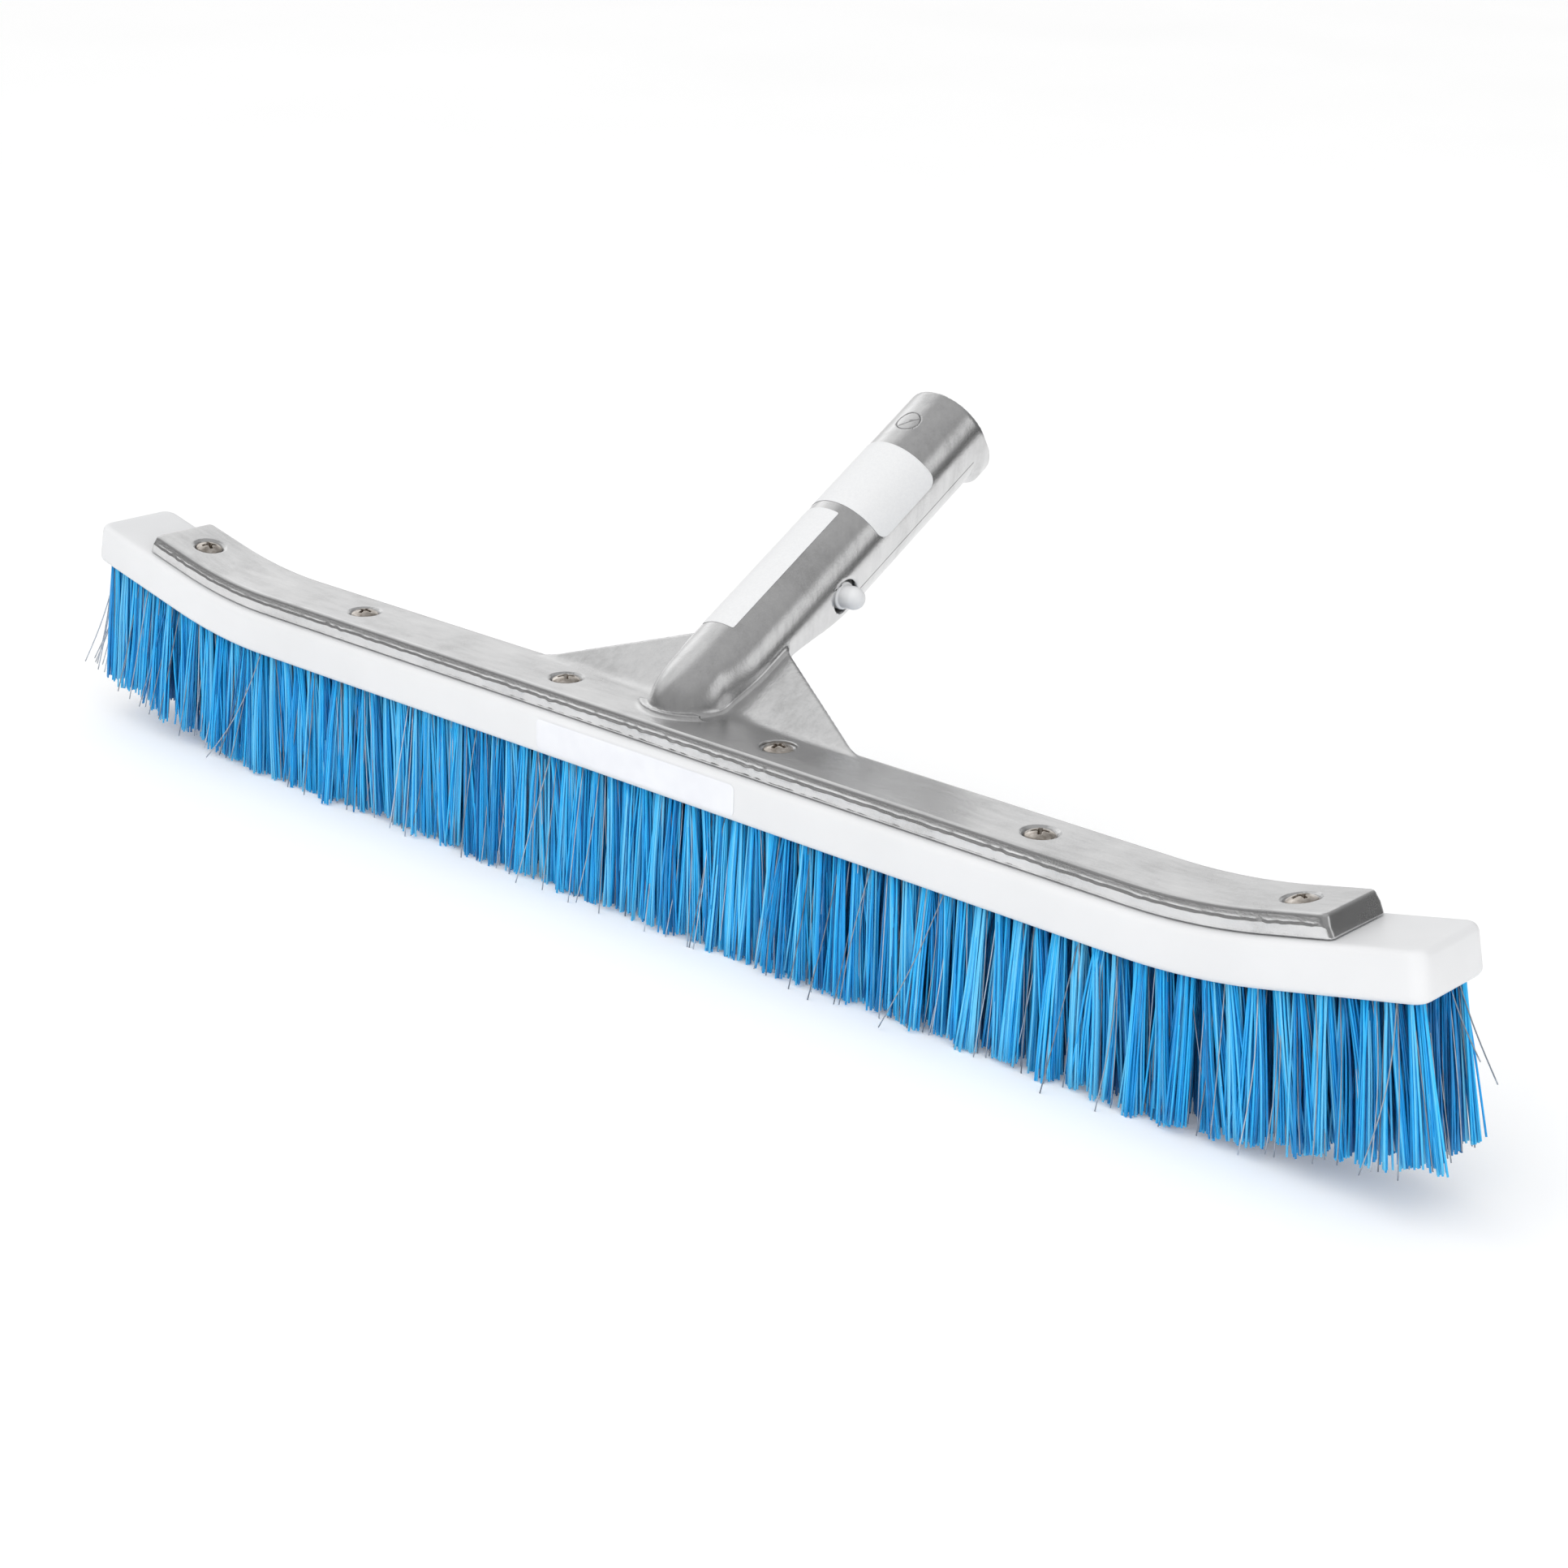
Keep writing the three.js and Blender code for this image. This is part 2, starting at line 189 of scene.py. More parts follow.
BLOCK_TOP = -(PLATE_THICKNESS + FIT_GAP)
BLOCK_BOTTOM = BLOCK_TOP - BLOCK_THICKNESS
TIP_HEIGHT = BLOCK_BOTTOM - FIT_GAP - BRISTLE_LENGTH
PLATE_TOP = -TIP_HEIGHT
TAIL = (
    OVERALL_LENGTH / 2 - MIDDLE_HALF - (BEND_RADIUS - BLOCK_BOTTOM) * math.sin(BEND_ANGLE)
) / math.cos(BEND_ANGLE)
BLOCK_HALF = MIDDLE_HALF + BEND_RADIUS * BEND_ANGLE + TAIL
ROOT_HEIGHT = BLOCK_BOTTOM + ROOT_SINK
OUTER_ROW = (TUFT_ROWS - 1) / 2 * ROW_PITCH
FRONT_Y = -OUTER_ROW - TUFT_RADIUS
TUFT_PITCH = 2 * (BLOCK_HALF - TUFT_END_MARGIN) / (TUFT_COLUMNS - 1)
SCREW_SLOPE = (SCREW_HEAD - SCREW_SHANK) / SCREW_CONE
WEB_BACK = WEB_V + WEB_THICKNESS / 2
LEAN_SIN, LEAN_COS = math.sin(TUBE_LEAN), math.cos(TUBE_LEAN)


# ---------------- places on the brush

def bent(points):
    """World places, in mm, of points given as (run, y, height) on the back."""
    run, y, height = np.asarray(points, float).T
    side = np.where(run < 0, -1.0, 1.0)
    run = np.abs(run)
    angle = np.clip((run - MIDDLE_HALF) / BEND_RADIUS, 0, BEND_ANGLE)
    tail = np.maximum(run - MIDDLE_HALF - BEND_RADIUS * BEND_ANGLE, 0)
    reach = BEND_RADIUS - height
    x = np.minimum(run, MIDDLE_HALF) + reach * np.sin(angle) + tail * np.cos(angle)
    z = BEND_RADIUS - reach * np.cos(angle) + tail * np.sin(angle)
    return np.column_stack([side * x, y, PLATE_TOP + z])


def on_tube(points):
    """World places, in mm, of points given as (x, v, t) on the tube."""
    x, v, t = np.asarray(points, float).T
    y = TUBE_FOOT_Y + v * LEAN_COS + t * LEAN_SIN
    return np.column_stack([x, y, PLATE_TOP - v * LEAN_SIN + t * LEAN_COS])


def round_tube(turn, out, t, side=1):
    """World places at an angle round the tube, out from its axis and t up it."""
    return on_tube(np.column_stack([side * out * np.cos(turn), out * np.sin(turn), t]))


def wrapped(label):
    """Places around the tube for a label's own (along its sweep, up the tube, lift)."""
    middle = (label["top"] + label["bottom"]) / 2
    radius = TUBE_RADIUS + LABEL_LIFT

    def place(points):
        along, up, lift = np.asarray(points, float).T
        turn = math.radians(label["centre"]) + along / radius
        return round_tube(turn, radius + lift, middle + up)

    return place


# ---------------- distance fields

def smooth_min(a, b, width):
    """Smaller of two distances, with the corner where they meet rounded over a width in mm."""
    h = np.maximum(width - np.abs(a - b), 0) / width
    return np.minimum(a, b) - h * h * width / 4


def smooth_max(a, b, width):
    return -smooth_min(-a, -b, width)


def rounded_rectangle(a, b, half_a, half_b, radius):
    qa = np.abs(a) - (half_a - radius)
    qb = np.abs(b) - (half_b - radius)
    outside = np.hypot(np.maximum(qa, 0), np.maximum(qb, 0))
    return outside + np.minimum(np.maximum(qa, qb), 0) - radius


def plate_field(run, y, height):
    above = height + PARTING_DROP
    lean = np.where(above > 0, UPPER_DRAFT * above, -LOWER_DRAFT * above)
    run_out = np.abs(run) + UPPER_DRAFT * above
    side = rounded_rectangle(run_out, np.abs(y) + lean, PLATE_HALF, PLATE_WIDTH / 2, PLATE_CORNER)
    return smooth_max(smooth_max(side, height, 0.8), -PLATE_THICKNESS - height, 0.4)


def taper_field(v, t):
    """Slanted underside of the tube's foot, from the webs out to the full tube."""
    across, up = TUBE_RADIUS - WEB_BACK, TAPER_TOP - TAPER_BOTTOM
    return ((v - WEB_BACK) * up - (t - TAPER_BOTTOM) * across) / math.hypot(across, up)


def web_field(x, v, t):
    shoulder = TUBE_RADIUS - 1
    run, rise = WEB_FOOT - shoulder, WEB_RISE + 0.6
    slope = ((np.abs(x) - WEB_FOOT) * rise + (t + 0.6) * run) / math.hypot(run, rise)
    outline = smooth_max(slope, t - WEB_RISE, 1.0)
    return smooth_max(outline, np.abs(v - WEB_V) - WEB_THICKNESS / 2, 0.9)


def lip_field(x, v, t):
    """The tube's outside near its mouth, moved towards the underside to make the rounded lip."""
    share = np.clip((t - TUBE_LENGTH + LIP_LENGTH + LIP_RAMP) / LIP_RAMP, 0, 1)
    offset = LIP_OFFSET * share * share * (3 - 2 * share)
    cuff = np.hypot(x, v - offset) - TUBE_RADIUS
    return np.maximum(cuff, TAPER_TOP + LIP_CLEARANCE - t)


def bore_field(x, v, t):
    deep = smooth_max(BORE_FLOOR - t, taper_field(v, t) + TAPER_WALL, 1.5)
    return smooth_max(np.hypot(x, v) - BORE_RADIUS, deep, 1.5)


def slot_field(v, t):
    nearest = np.clip(t, SLOT_BOTTOM + SLOT_RADIUS, SLOT_TOP - SLOT_RADIUS)
    return np.hypot(v - CLIP_V, t - nearest) - SLOT_RADIUS


def spot_field(x, v, t):
    """Round recess near the tube's mouth, which the plug of the round mark fills."""
    across = np.hypot(x, t - SPOT_T)
    return np.maximum(across - SPOT_RADIUS, TUBE_RADIUS - SPOT_DEPTH - np.hypot(x, v))


def mark_field(points):
    """Plug of the round mark: flush with the tube, with a thin gap round it and two ribs."""
    x, v, t = points.T
    across = np.hypot(x, t - SPOT_T)
    out = np.hypot(x, v)
    body = smooth_max(across - SPOT_RADIUS + SPOT_GAP, out - TUBE_RADIUS + 0.02, 0.12)
    along, beside = (x + t - SPOT_T) * math.sqrt(0.5), (x - t + SPOT_T) * math.sqrt(0.5)
    rib = np.maximum(np.abs(beside - 0.5) - 0.12, np.abs(along) - SPOT_RADIUS + 0.5)
    spur = np.maximum(np.abs(beside - 0.35 * along + 0.3) - 0.1, np.abs(along - 1.2) - 1.2)
    ribs = np.maximum(np.minimum(rib, spur), out - TUBE_RADIUS - 0.1)
    body = np.minimum(body, ribs)
    return np.maximum(np.maximum(body, v), TUBE_RADIUS - SPOT_DEPTH + 0.05 - out)


def tube_field(x, v, t, y, height):
    """Outside of the pole tube, its flattened underside and its toe on the plate."""
    underside = smooth_min(taper_field(v, t), v - WEB_BACK, 3.0)
    body = smooth_max(np.hypot(x, v) - TUBE_RADIUS, underside, 1.2)
    toe = np.hypot(x, np.minimum(y - TOE_Y, 0)) - TOE_RADIUS
    behind = np.maximum(y - TOE_Y, 0)
    body = smooth_max(body, toe - behind * behind / (behind + TOE_FADE), TOE_ROUNDING)
    foot = np.maximum(toe - TOE_RIM, height - TOE_RIM_RISE)
    body = np.minimum(body, np.maximum(foot, v + TUBE_RADIUS / 2))
    body = np.minimum(body, lip_field(x, v, t))
    body = smooth_max(body, t - TUBE_LENGTH, 1.2)
    return smooth_max(body, -WELD_DEPTH - height, 0.8)


def seat_field(run, y, height):
    """Countersunk seats and clearance holes of the six screws, each in a shallow ring."""
    mouth = SCREW_HEAD + SCREW_SUNK * SCREW_SLOPE + SEAT_GAP
    hollows = []
    for place, depth in zip(SCREW_RUNS, COUNTERBORE_DEPTHS):
        out = np.hypot(run - place, y)
        hollows.append((out - mouth - SCREW_SLOPE * height) / math.hypot(1, SCREW_SLOPE))
        hollows.append(out - SCREW_SHANK - FIT_GAP)
        hollows.append(np.maximum(out - COUNTERBORE_RADIUS, -depth - height))
    return np.minimum.reduce(hollows)


def casting_field(points):
    run, y, height = points.T
    v = (y - TUBE_FOOT_Y) * LEAN_COS - height * LEAN_SIN
    t = (y - TUBE_FOOT_Y) * LEAN_SIN + height * LEAN_COS
    body = smooth_min(plate_field(run, y, height), tube_field(run, v, t, y, height), 2.0)
    web = np.maximum(web_field(run, v, t), -WELD_DEPTH - height)
    body = smooth_min(body, web, 1.2)
    body = smooth_max(body, -bore_field(run, v, t), 1.0)
    body = smooth_max(body, -slot_field(v, t), 0.7)
    body = smooth_max(body, -spot_field(run, v, t), 0.2)
    return smooth_max(body, -seat_field(run, y, height), 0.3)


def screw_field(points):
    """Raised countersunk screw with a cross recess, its rim at height 0."""
    x, y, height = points.T
    out = np.hypot(x, y)
    cap = (SCREW_HEAD ** 2 + SCREW_DOME ** 2) / (2 * SCREW_DOME)
    dome = np.hypot(out, height - SCREW_DOME + cap) - cap
    cone = (out - SCREW_HEAD - SCREW_SLOPE * (height + SCREW_RIM)) / math.hypot(1, SCREW_SLOPE)
    rim = smooth_max(np.maximum(out - SCREW_HEAD, cone), -SCREW_CONE - 0.5 - height, 0.1)
    head = smooth_max(rim, dome, 0.3)
    shank = smooth_max(out - SCREW_SHANK, -SCREW_LENGTH - height, 1.0)
    shank = np.maximum(shank, height + SCREW_CONE - 0.3)
    body = np.minimum(head, shank)
    deep = height - SCREW_DOME
    arm, slit, core = (
        half + taper * deep for half, taper in (RECESS_ARM, RECESS_SLIT, RECESS_CORE)
    )
    cross = [np.maximum(np.abs(a) - arm, np.abs(b) - slit) for a, b in ((x, y), (y, x))]
    corners = (np.abs(x) + np.abs(y) - core) / math.sqrt(2)
    recess = smooth_min(smooth_min(*cross, 0.3), corners, 0.3)
    recess = np.maximum(recess, -RECESS_DEPTH - deep)
    return smooth_max(body, -recess, 0.16)


def bar_field(x, t, corners):
    """Distance to a bent bar in the plane of x and t."""
    far = []
    for (x0, t0), (x1, t1) in zip(corners, corners[1:]):
        dx, dt = x1 - x0, t1 - t0
        share = np.clip(((x - x0) * dx + (t - t0) * dt) / (dx * dx + dt * dt), 0, 1)
        far.append(np.hypot(x - x0 - share * dx, t - t0 - share * dt))
    return np.minimum.reduce(far) - CLIP_THICKNESS / 2


def leg_field(side):
    """Leg of the V-clip on one side of the tube, with its ball-ended button."""
    half = CLIP_THICKNESS / 2
    corners = [
        (CLIP_REACH - half, CLIP_FOOT_T + half), (CLIP_REACH - half, CLIP_KNEE_T),
        (CLIP_BEND_RADIUS - half, CLIP_BEND_T - FIT_GAP + half),
    ]

    def field(points):
        x, v, t = points.T
        x = x * side
        bar = smooth_max(bar_field(x, t, corners), np.abs(v - CLIP_V) - CLIP_WIDTH / 2, 0.7)
        bar = np.maximum(bar, t - CLIP_BEND_T + FIT_GAP)
        beyond = np.maximum(x - BUTTON_REACH + BUTTON_RADIUS, 0)
        across = np.hypot(v - CLIP_V, t - BUTTON_T)
        button = np.hypot(across, beyond) - BUTTON_RADIUS
        collar = smooth_max(across - COLLAR_RADIUS, x - COLLAR_REACH, 0.5)
        button = np.maximum(smooth_min(button, collar, 0.4), CLIP_REACH - 0.5 - x)
        return smooth_min(bar, button, 0.8)

    return field


def bend_field(points):
    x, v, t = points.T
    middle = CLIP_BEND_RADIUS - CLIP_THICKNESS / 2
    ring = np.abs(np.hypot(x, t - CLIP_BEND_T) - middle) - CLIP_THICKNESS / 2
    ring = smooth_max(ring, np.abs(v - CLIP_V) - CLIP_WIDTH / 2, 0.7)
    return np.maximum(ring, CLIP_BEND_T - t)


# ---------------- meshing a distance field

def line_of(*stops):
    """Grid line through stops given as position, cell, position, cell, ..., position."""
    places = [np.array([stops[0]])]
    for start, cell, end in zip(stops[0::2], stops[1::2], stops[2::2]):
        count = max(1, round((end - start) / cell))
        places.append(np.linspace(start, end, count + 1)[1:])
    return np.concatenate(places)


def mirrored_line(*stops):
    half = line_of(*stops)
    return np.concatenate([-half[:0:-1], half])


# A block of the grid is worked out if the field at its middle is under this many of its half
# diagonals plus a margin in mm, because the fields aren't true distances.
NEAR_FACTOR = 1.3
NEAR_MARGIN = 0.6
BLOCKS_AT_ONCE = 4000
PULL_TO_MEAN = 0.08


def sampled(field, axes, block=6):
    """The field on the grid, worked out only in blocks that the surface may pass."""
    values = np.empty([len(line) for line in axes], np.float32)
    spans, middles, halves = [], [], []
    for line in axes:
        edges = np.append(np.arange(0, len(line), block), len(line))
        low, high = line[edges[:-1]], line[np.minimum(edges[1:], len(line) - 1)]
        spans.append([slice(*pair) for pair in zip(edges, edges[1:])])
        middles.append((low + high) / 2)
        halves.append((high - low) / 2)
    centre = np.stack(np.meshgrid(*middles, indexing="ij"), -1).reshape(-1, 3)
    reach = np.sqrt(sum(h ** 2 for h in np.meshgrid(*halves, indexing="ij"))).ravel()
    rough = field(centre)
    near = np.abs(rough) < NEAR_FACTOR * reach + NEAR_MARGIN
    cells = list(itertools.product(*spans))
    for index in np.flatnonzero(~near):
        values[cells[index]] = rough[index]
    chosen = np.flatnonzero(near)
    for part in np.array_split(chosen, max(1, len(chosen) // BLOCKS_AT_ONCE)):
        grids = []
        for index in part:
            lines = [line[span] for line, span in zip(axes, cells[index])]
            grids.append(np.stack(np.meshgrid(*lines, indexing="ij"), -1))
        result = field(np.concatenate([grid.reshape(-1, 3) for grid in grids]))
        start = 0
        for index, grid in zip(part, grids):
            end = start + grid.size // 3
            values[cells[index]] = result[start:end].reshape(grid.shape[:3])
            start = end
    return values


def grid_places(axes, cells):
    return np.stack([line[cells[:, n]] for n, line in enumerate(axes)], -1)


def crossings(values, axes, field):
    """Where grid edges cross the surface: for each direction, cell indexes, places and signs."""
    found = []
    for axis in range(3):
        low = np.take(values, range(values.shape[axis] - 1), axis)
        high = np.take(values, range(1, values.shape[axis]), axis)
        cells = np.argwhere((low < 0) != (high < 0))
        f0 = low[tuple(cells.T)].astype(float)
        f1 = high[tuple(cells.T)].astype(float)
        start = grid_places(axes, cells)
        end = grid_places(axes, cells + np.eye(3, dtype=int)[axis])
        share = (f0 / (f0 - f1))[:, None]
        place = start + (end - start) * share
        between = field(place)
        same = (between < 0) == (f0 < 0)
        left = np.where(same[:, None], place, start)
        right = np.where(same[:, None], end, place)
        g0 = np.where(same, between, f0)
        g1 = np.where(same, f1, between)
        share = np.clip(g0 / np.where(g0 == g1, 1, g0 - g1), 0, 1)[:, None]
        found.append((cells, left + (right - left) * share, f0 < 0))
    return found


def slopes(field, places, step=0.01):
    out = np.empty_like(places)
    for n in range(3):
        shift = np.zeros(3)
        shift[n] = step
        out[:, n] = field(places + shift) - field(places - shift)
    return out / np.maximum(np.linalg.norm(out, axis=1, keepdims=True), 1e-9)


def fitted(crossed, total):
    """For each cell, the place nearest to the planes of the surface crossings round it."""
    hits = np.zeros(total)
    mean = np.zeros((total, 3))
    for ids, places, _ in crossed:
        for own in ids.T:
            hits += np.bincount(own, minlength=total)
            for n in range(3):
                mean[:, n] += np.bincount(own, places[:, n], total)
    mean /= hits[:, None]
    square = np.zeros((total, 3, 3))
    pull = np.zeros((total, 3))
    for ids, places, normals in crossed:
        for own in ids.T:
            offset = np.einsum("ij,ij->i", normals, places - mean[own])
            for p in range(3):
                pull[:, p] += np.bincount(own, normals[:, p] * offset, total)
                for q in range(3):
                    square[:, p, q] += np.bincount(own, normals[:, p] * normals[:, q], total)
    square += np.eye(3) * PULL_TO_MEAN
    return mean + np.linalg.solve(square, pull[:, :, None])[:, :, 0]


def contoured(field, axes):
    """Closed quads on field = 0, with corners kept: one vertex per cell, by dual contouring."""
    values = sampled(field, axes)
    edges = crossings(values, axes, field)
    counts = np.array([len(line) for line in axes])
    stride = np.array([counts[1] * counts[2], counts[2], 1])
    owners, quads = [], []
    for axis, (cells, _, inside_first) in enumerate(edges):
        b, c = stride[(axis + 1) % 3], stride[(axis + 2) % 3]
        around = (cells @ stride)[:, None] - np.array([0, b, b + c, c])
        owners.append(around)
        quads.append(np.where(inside_first[:, None], around, around[:, ::-1]))
    used = np.unique(np.concatenate(owners))
    crossed = []
    for (_, places, _), around in zip(edges, owners):
        crossed.append((np.searchsorted(used, around), places, slopes(field, places)))
    cell = np.stack(np.unravel_index(used, counts), -1)
    low, high = grid_places(axes, cell), grid_places(axes, np.minimum(cell + 1, counts - 1))
    spots = np.clip(fitted(crossed, len(used)), low, high)
    return spots, np.searchsorted(used, np.concatenate(quads))


# ---------------- making meshes

def mesh_object(name, places, faces, *materials, caps=()):
    """Object from places in mm and rows of vertex indexes: smooth faces, then flat caps."""
    groups = [np.asarray(rows, np.int32) for rows in (faces, caps) if len(rows)]
    sides = np.concatenate([np.full(len(rows), rows.shape[1]) for rows in groups])
    corners = np.concatenate([rows.ravel() for rows in groups])
    mesh = bpy.data.meshes.new(name)
    mesh.vertices.add(len(places))
    mesh.vertices.foreach_set("co", (np.asarray(places, float) * MM).astype(np.float32).ravel())
    mesh.loops.add(len(corners))
    mesh.loops.foreach_set("vertex_index", corners)
    mesh.polygons.add(len(sides))
    mesh.polygons.foreach_set("loop_start", (np.cumsum(sides) - sides).astype(np.int32))
    mesh.polygons.foreach_set("use_smooth", np.arange(len(sides)) < len(faces))
    mesh.update(calc_edges=True)
    mesh.validate()
    for material in materials:
        mesh.materials.append(material)
    thing = bpy.data.objects.new(name, mesh)
    bpy.context.scene.collection.objects.link(thing)
    return thing


def welded(thing, gap=0.0005):
    """Merges places that coincide and drops the faces that this leaves with no area."""
    form = bmesh.new()
    form.from_mesh(thing.data)
    bmesh.ops.remove_doubles(form, verts=form.verts, dist=gap * MM)
    bmesh.ops.dissolve_degenerate(form, edges=form.edges, dist=gap * MM)
    bmesh.ops.recalc_face_normals(form, faces=form.faces)
    form.to_mesh(thing.data)
    form.free()
    thing.data.shade_smooth()
    return thing


def ring_of(half_a, half_b, corner, inset, step):
    """Rounded rectangle, moved in by inset, as points that match from inset to inset."""
    a, b = half_a - inset, half_b - inset
    radius = max(corner - inset, 0)
    flats = [max(2, round(2 * (half - corner) / step)) for half in (half_a, half_b)]
    ring = []
    for quarter, (sign_a, sign_b) in enumerate(((1, 1), (-1, 1), (-1, -1), (1, -1))):
        centre = np.array([sign_a * (a - radius), sign_b * (b - radius)])
        turns = np.radians(np.linspace(90 * quarter, 90 * quarter + 90, 9))
        arc = centre + radius * np.column_stack([np.cos(turns), np.sin(turns)])
        flat = flats[quarter % 2]
        ring.extend(arc)
        # The straight side up to the next corner runs along a, then b, in turn.
        along_a = (-2 * sign_a * (a - radius), 0)
        along_b = (0, -2 * sign_b * (b - radius))
        way = np.array(along_b if quarter % 2 else along_a)
        ring.extend(arc[-1] + way * share for share in np.arange(1, flat) / flat)
    return np.array(ring)


def slab(name, size, profile, place, step, material):
    """Closed rounded slab, with size as (half length, half width, corner)."""
    rings = []
    for inset, height in profile:
        ring = ring_of(*size, inset, step)
        rings.append(np.column_stack([ring, np.full(len(ring), height)]))
    count = len(rings[0])
    here = np.arange(count)
    after = (here + 1) % count
    faces = []
    for low in range(0, count * (len(rings) - 1), count):
        high = low + count
        faces.append(np.column_stack([low + here, low + after, high + after, high + here]))
    return welded(mesh_object(name, place(np.concatenate(rings)), np.concatenate(faces), material))


def rounded_profile(half_width, top, bottom, edge, rounds=5, flats=7):
    """Rows from the middle of the top face, round its edge, down and back under the slab."""
    bends = np.radians(np.linspace(0, 90, rounds + 1))
    inner = [(half_width - (half_width - edge) * (n / flats), top) for n in range(flats)]
    upper = [(edge - edge * math.sin(a), top - edge + edge * math.cos(a)) for a in bends]
    lower = [(i, top + bottom - h) for i, h in reversed(upper)]
    under = [(i, bottom) for i, _ in reversed(inner)]
    return inner + upper + lower + under


# ---------------- materials

def feed(socket, value):
    """Links another node's output to a socket, or sets the socket to a plain value."""
    if isinstance(value, bpy.types.NodeSocket):
        socket.id_data.links.new(value, socket)
    elif value is not None:
        socket.default_value = value


def settle(made, settings):
    """Feeds a node's sockets, named with _ for a space, and sets its other settings."""
    for key, value in settings.items():
        socket = key.replace("_", " ")
        if socket in made.inputs:
            feed(made.inputs[socket], value)
        else:
            setattr(made, key, value)
    return made


def node(tree, kind, **settings):
    return settle(tree.nodes.new(kind), settings)


def dress(material, **settings):
    settle(material.node_tree.nodes["Principled BSDF"], settings)
    return material


def new_material(name, **settings):
    material = bpy.data.materials.new(name)
    material.use_nodes = True
    return dress(material, **settings), material.node_tree


def object_space(tree, rotation=(0, 0, 0), scale=(1, 1, 1)):
    """Object coordinates, turned and drawn out for grain that runs along one axis."""
    coords = node(tree, "ShaderNodeTexCoord")
    place = coords.outputs["Object"]
    mapping = node(tree, "ShaderNodeMapping", Vector=place, Rotation=rotation, Scale=scale)
    return mapping.outputs["Vector"]


def noise(tree, vector, scale, detail=3.0, rough=0.55):
    settings = {"Vector": vector, "Scale": scale, "Detail": detail, "Roughness": rough}
    return node(tree, "ShaderNodeTexNoise", **settings).outputs["Fac"]


def math_node(tree, operation, *values):
    made = node(tree, "ShaderNodeMath", operation=operation)
    for socket, value in zip(made.inputs, values):
        feed(socket, value)
    return made.outputs[0]


def ramp(tree, fac, *stops):
    """Colour ramp through stops of (place, colour), where a single number is a grey."""
    made = node(tree, "ShaderNodeValToRGB", Fac=fac)
    elements = made.color_ramp.elements
    while len(elements) < len(stops):
        elements.new(0.5)
    for element, (place, colour) in zip(elements, stops):
        element.position = place
        element.color = (*colour, 1) if isinstance(colour, tuple) else (colour,) * 3 + (1,)
    return made.outputs["Color"]


def bump(tree, height, depth, under=None):
    """Bump normal for a height of 0 to 1, depth in mm, laid over another bump if one is given."""
    settings = {"Strength": 1.0, "Distance": depth * MM, "Height": height, "Normal": under}
    return node(tree, "ShaderNodeBump", **settings).outputs["Normal"]


def cast_aluminium(name, along, streak, base=0.66, low=0.2, high=0.36):
    """Die-cast aluminium: mottled tone, fine grain and flow marks drawn out along one axis."""
    material, tree = new_material(name, Metallic=1.0)
    flat = object_space(tree)
    drawn = object_space(tree, rotation=along, scale=streak)
    cloud = noise(tree, flat, 55, 4)
    speck = noise(tree, flat, 1900, 3, 0.7)
    flow = noise(tree, drawn, 420, 4, 0.6)
    tone = math_node(tree, "MULTIPLY_ADD", cloud, 0.6, math_node(tree, "MULTIPLY", flow, 0.4))
    tone = math_node(tree, "MULTIPLY_ADD", speck, 0.25, tone)
    colour = ramp(
        tree, tone, (0.40, base * 0.80), (0.62, (base, base, base * 1.005)), (0.85, base * 1.12),
    )
    rough = ramp(tree, tone, (0.35, high), (0.85, low))
    skin = bump(tree, flow, 0.05, bump(tree, speck, 0.018))
    return dress(material, Base_Color=colour, Roughness=rough, Normal=skin)


def stainless(name):
    """Rolled stainless steel of the screws, a little warm and dull in patches."""
    material, tree = new_material(name, Metallic=1.0)
    flat = object_space(tree)
    cloud = noise(tree, flat, 500, 3)
    colour = ramp(tree, cloud, (0.35, (0.36, 0.32, 0.28)), (0.7, (0.72, 0.67, 0.62)))
    rough = ramp(tree, cloud, (0.3, 0.28), (0.7, 0.14))
    skin = bump(tree, noise(tree, flat, 3500), 0.008)
    return dress(material, Base_Color=colour, Roughness=rough, Normal=skin)


def white_plastic(name, rough=0.36):
    """Moulded white plastic with slow waves and a fine skin."""
    material, tree = new_material(name, Specular_IOR_Level=0.45)
    flat = object_space(tree)
    cloud = noise(tree, flat, 30, 3)
    colour = ramp(tree, cloud, (0.3, (0.745, 0.75, 0.76)), (0.7, (0.78, 0.785, 0.795)))
    gloss = ramp(tree, cloud, (0.3, rough + 0.06), (0.7, rough - 0.05))
    wave = bump(tree, noise(tree, flat, 90, 2), 0.05)
    skin = bump(tree, noise(tree, flat, 2600, 2), 0.006, wave)
    return dress(material, Base_Color=colour, Roughness=gloss, Normal=skin)


def label_paper(name):
    """Coated paper of the tube's stickers, with faint fibres."""
    material, tree = new_material(name, Specular_IOR_Level=0.3)
    flat = object_space(tree)
    fibre = noise(tree, flat, 1400, 4, 0.7)
    colour = ramp(tree, fibre, (0.3, (0.75, 0.755, 0.765)), (0.7, (0.80, 0.805, 0.81)))
    rough = ramp(tree, fibre, (0.3, 0.5), (0.7, 0.38))
    return dress(material, Base_Color=colour, Roughness=rough, Normal=bump(tree, fibre, 0.006))


def label_film(name):
    """Glossy film sticker on the block, a trace bluer than the plastic under it."""
    material, tree = new_material(name, Specular_IOR_Level=0.6)
    flat = object_space(tree)
    wave = noise(tree, flat, 120, 2)
    colour = ramp(tree, wave, (0.3, (0.78, 0.79, 0.83)), (0.7, (0.83, 0.84, 0.87)))
    rough = ramp(tree, wave, (0.3, 0.2), (0.7, 0.12))
    return dress(material, Base_Color=colour, Roughness=rough, Normal=bump(tree, wave, 0.03))


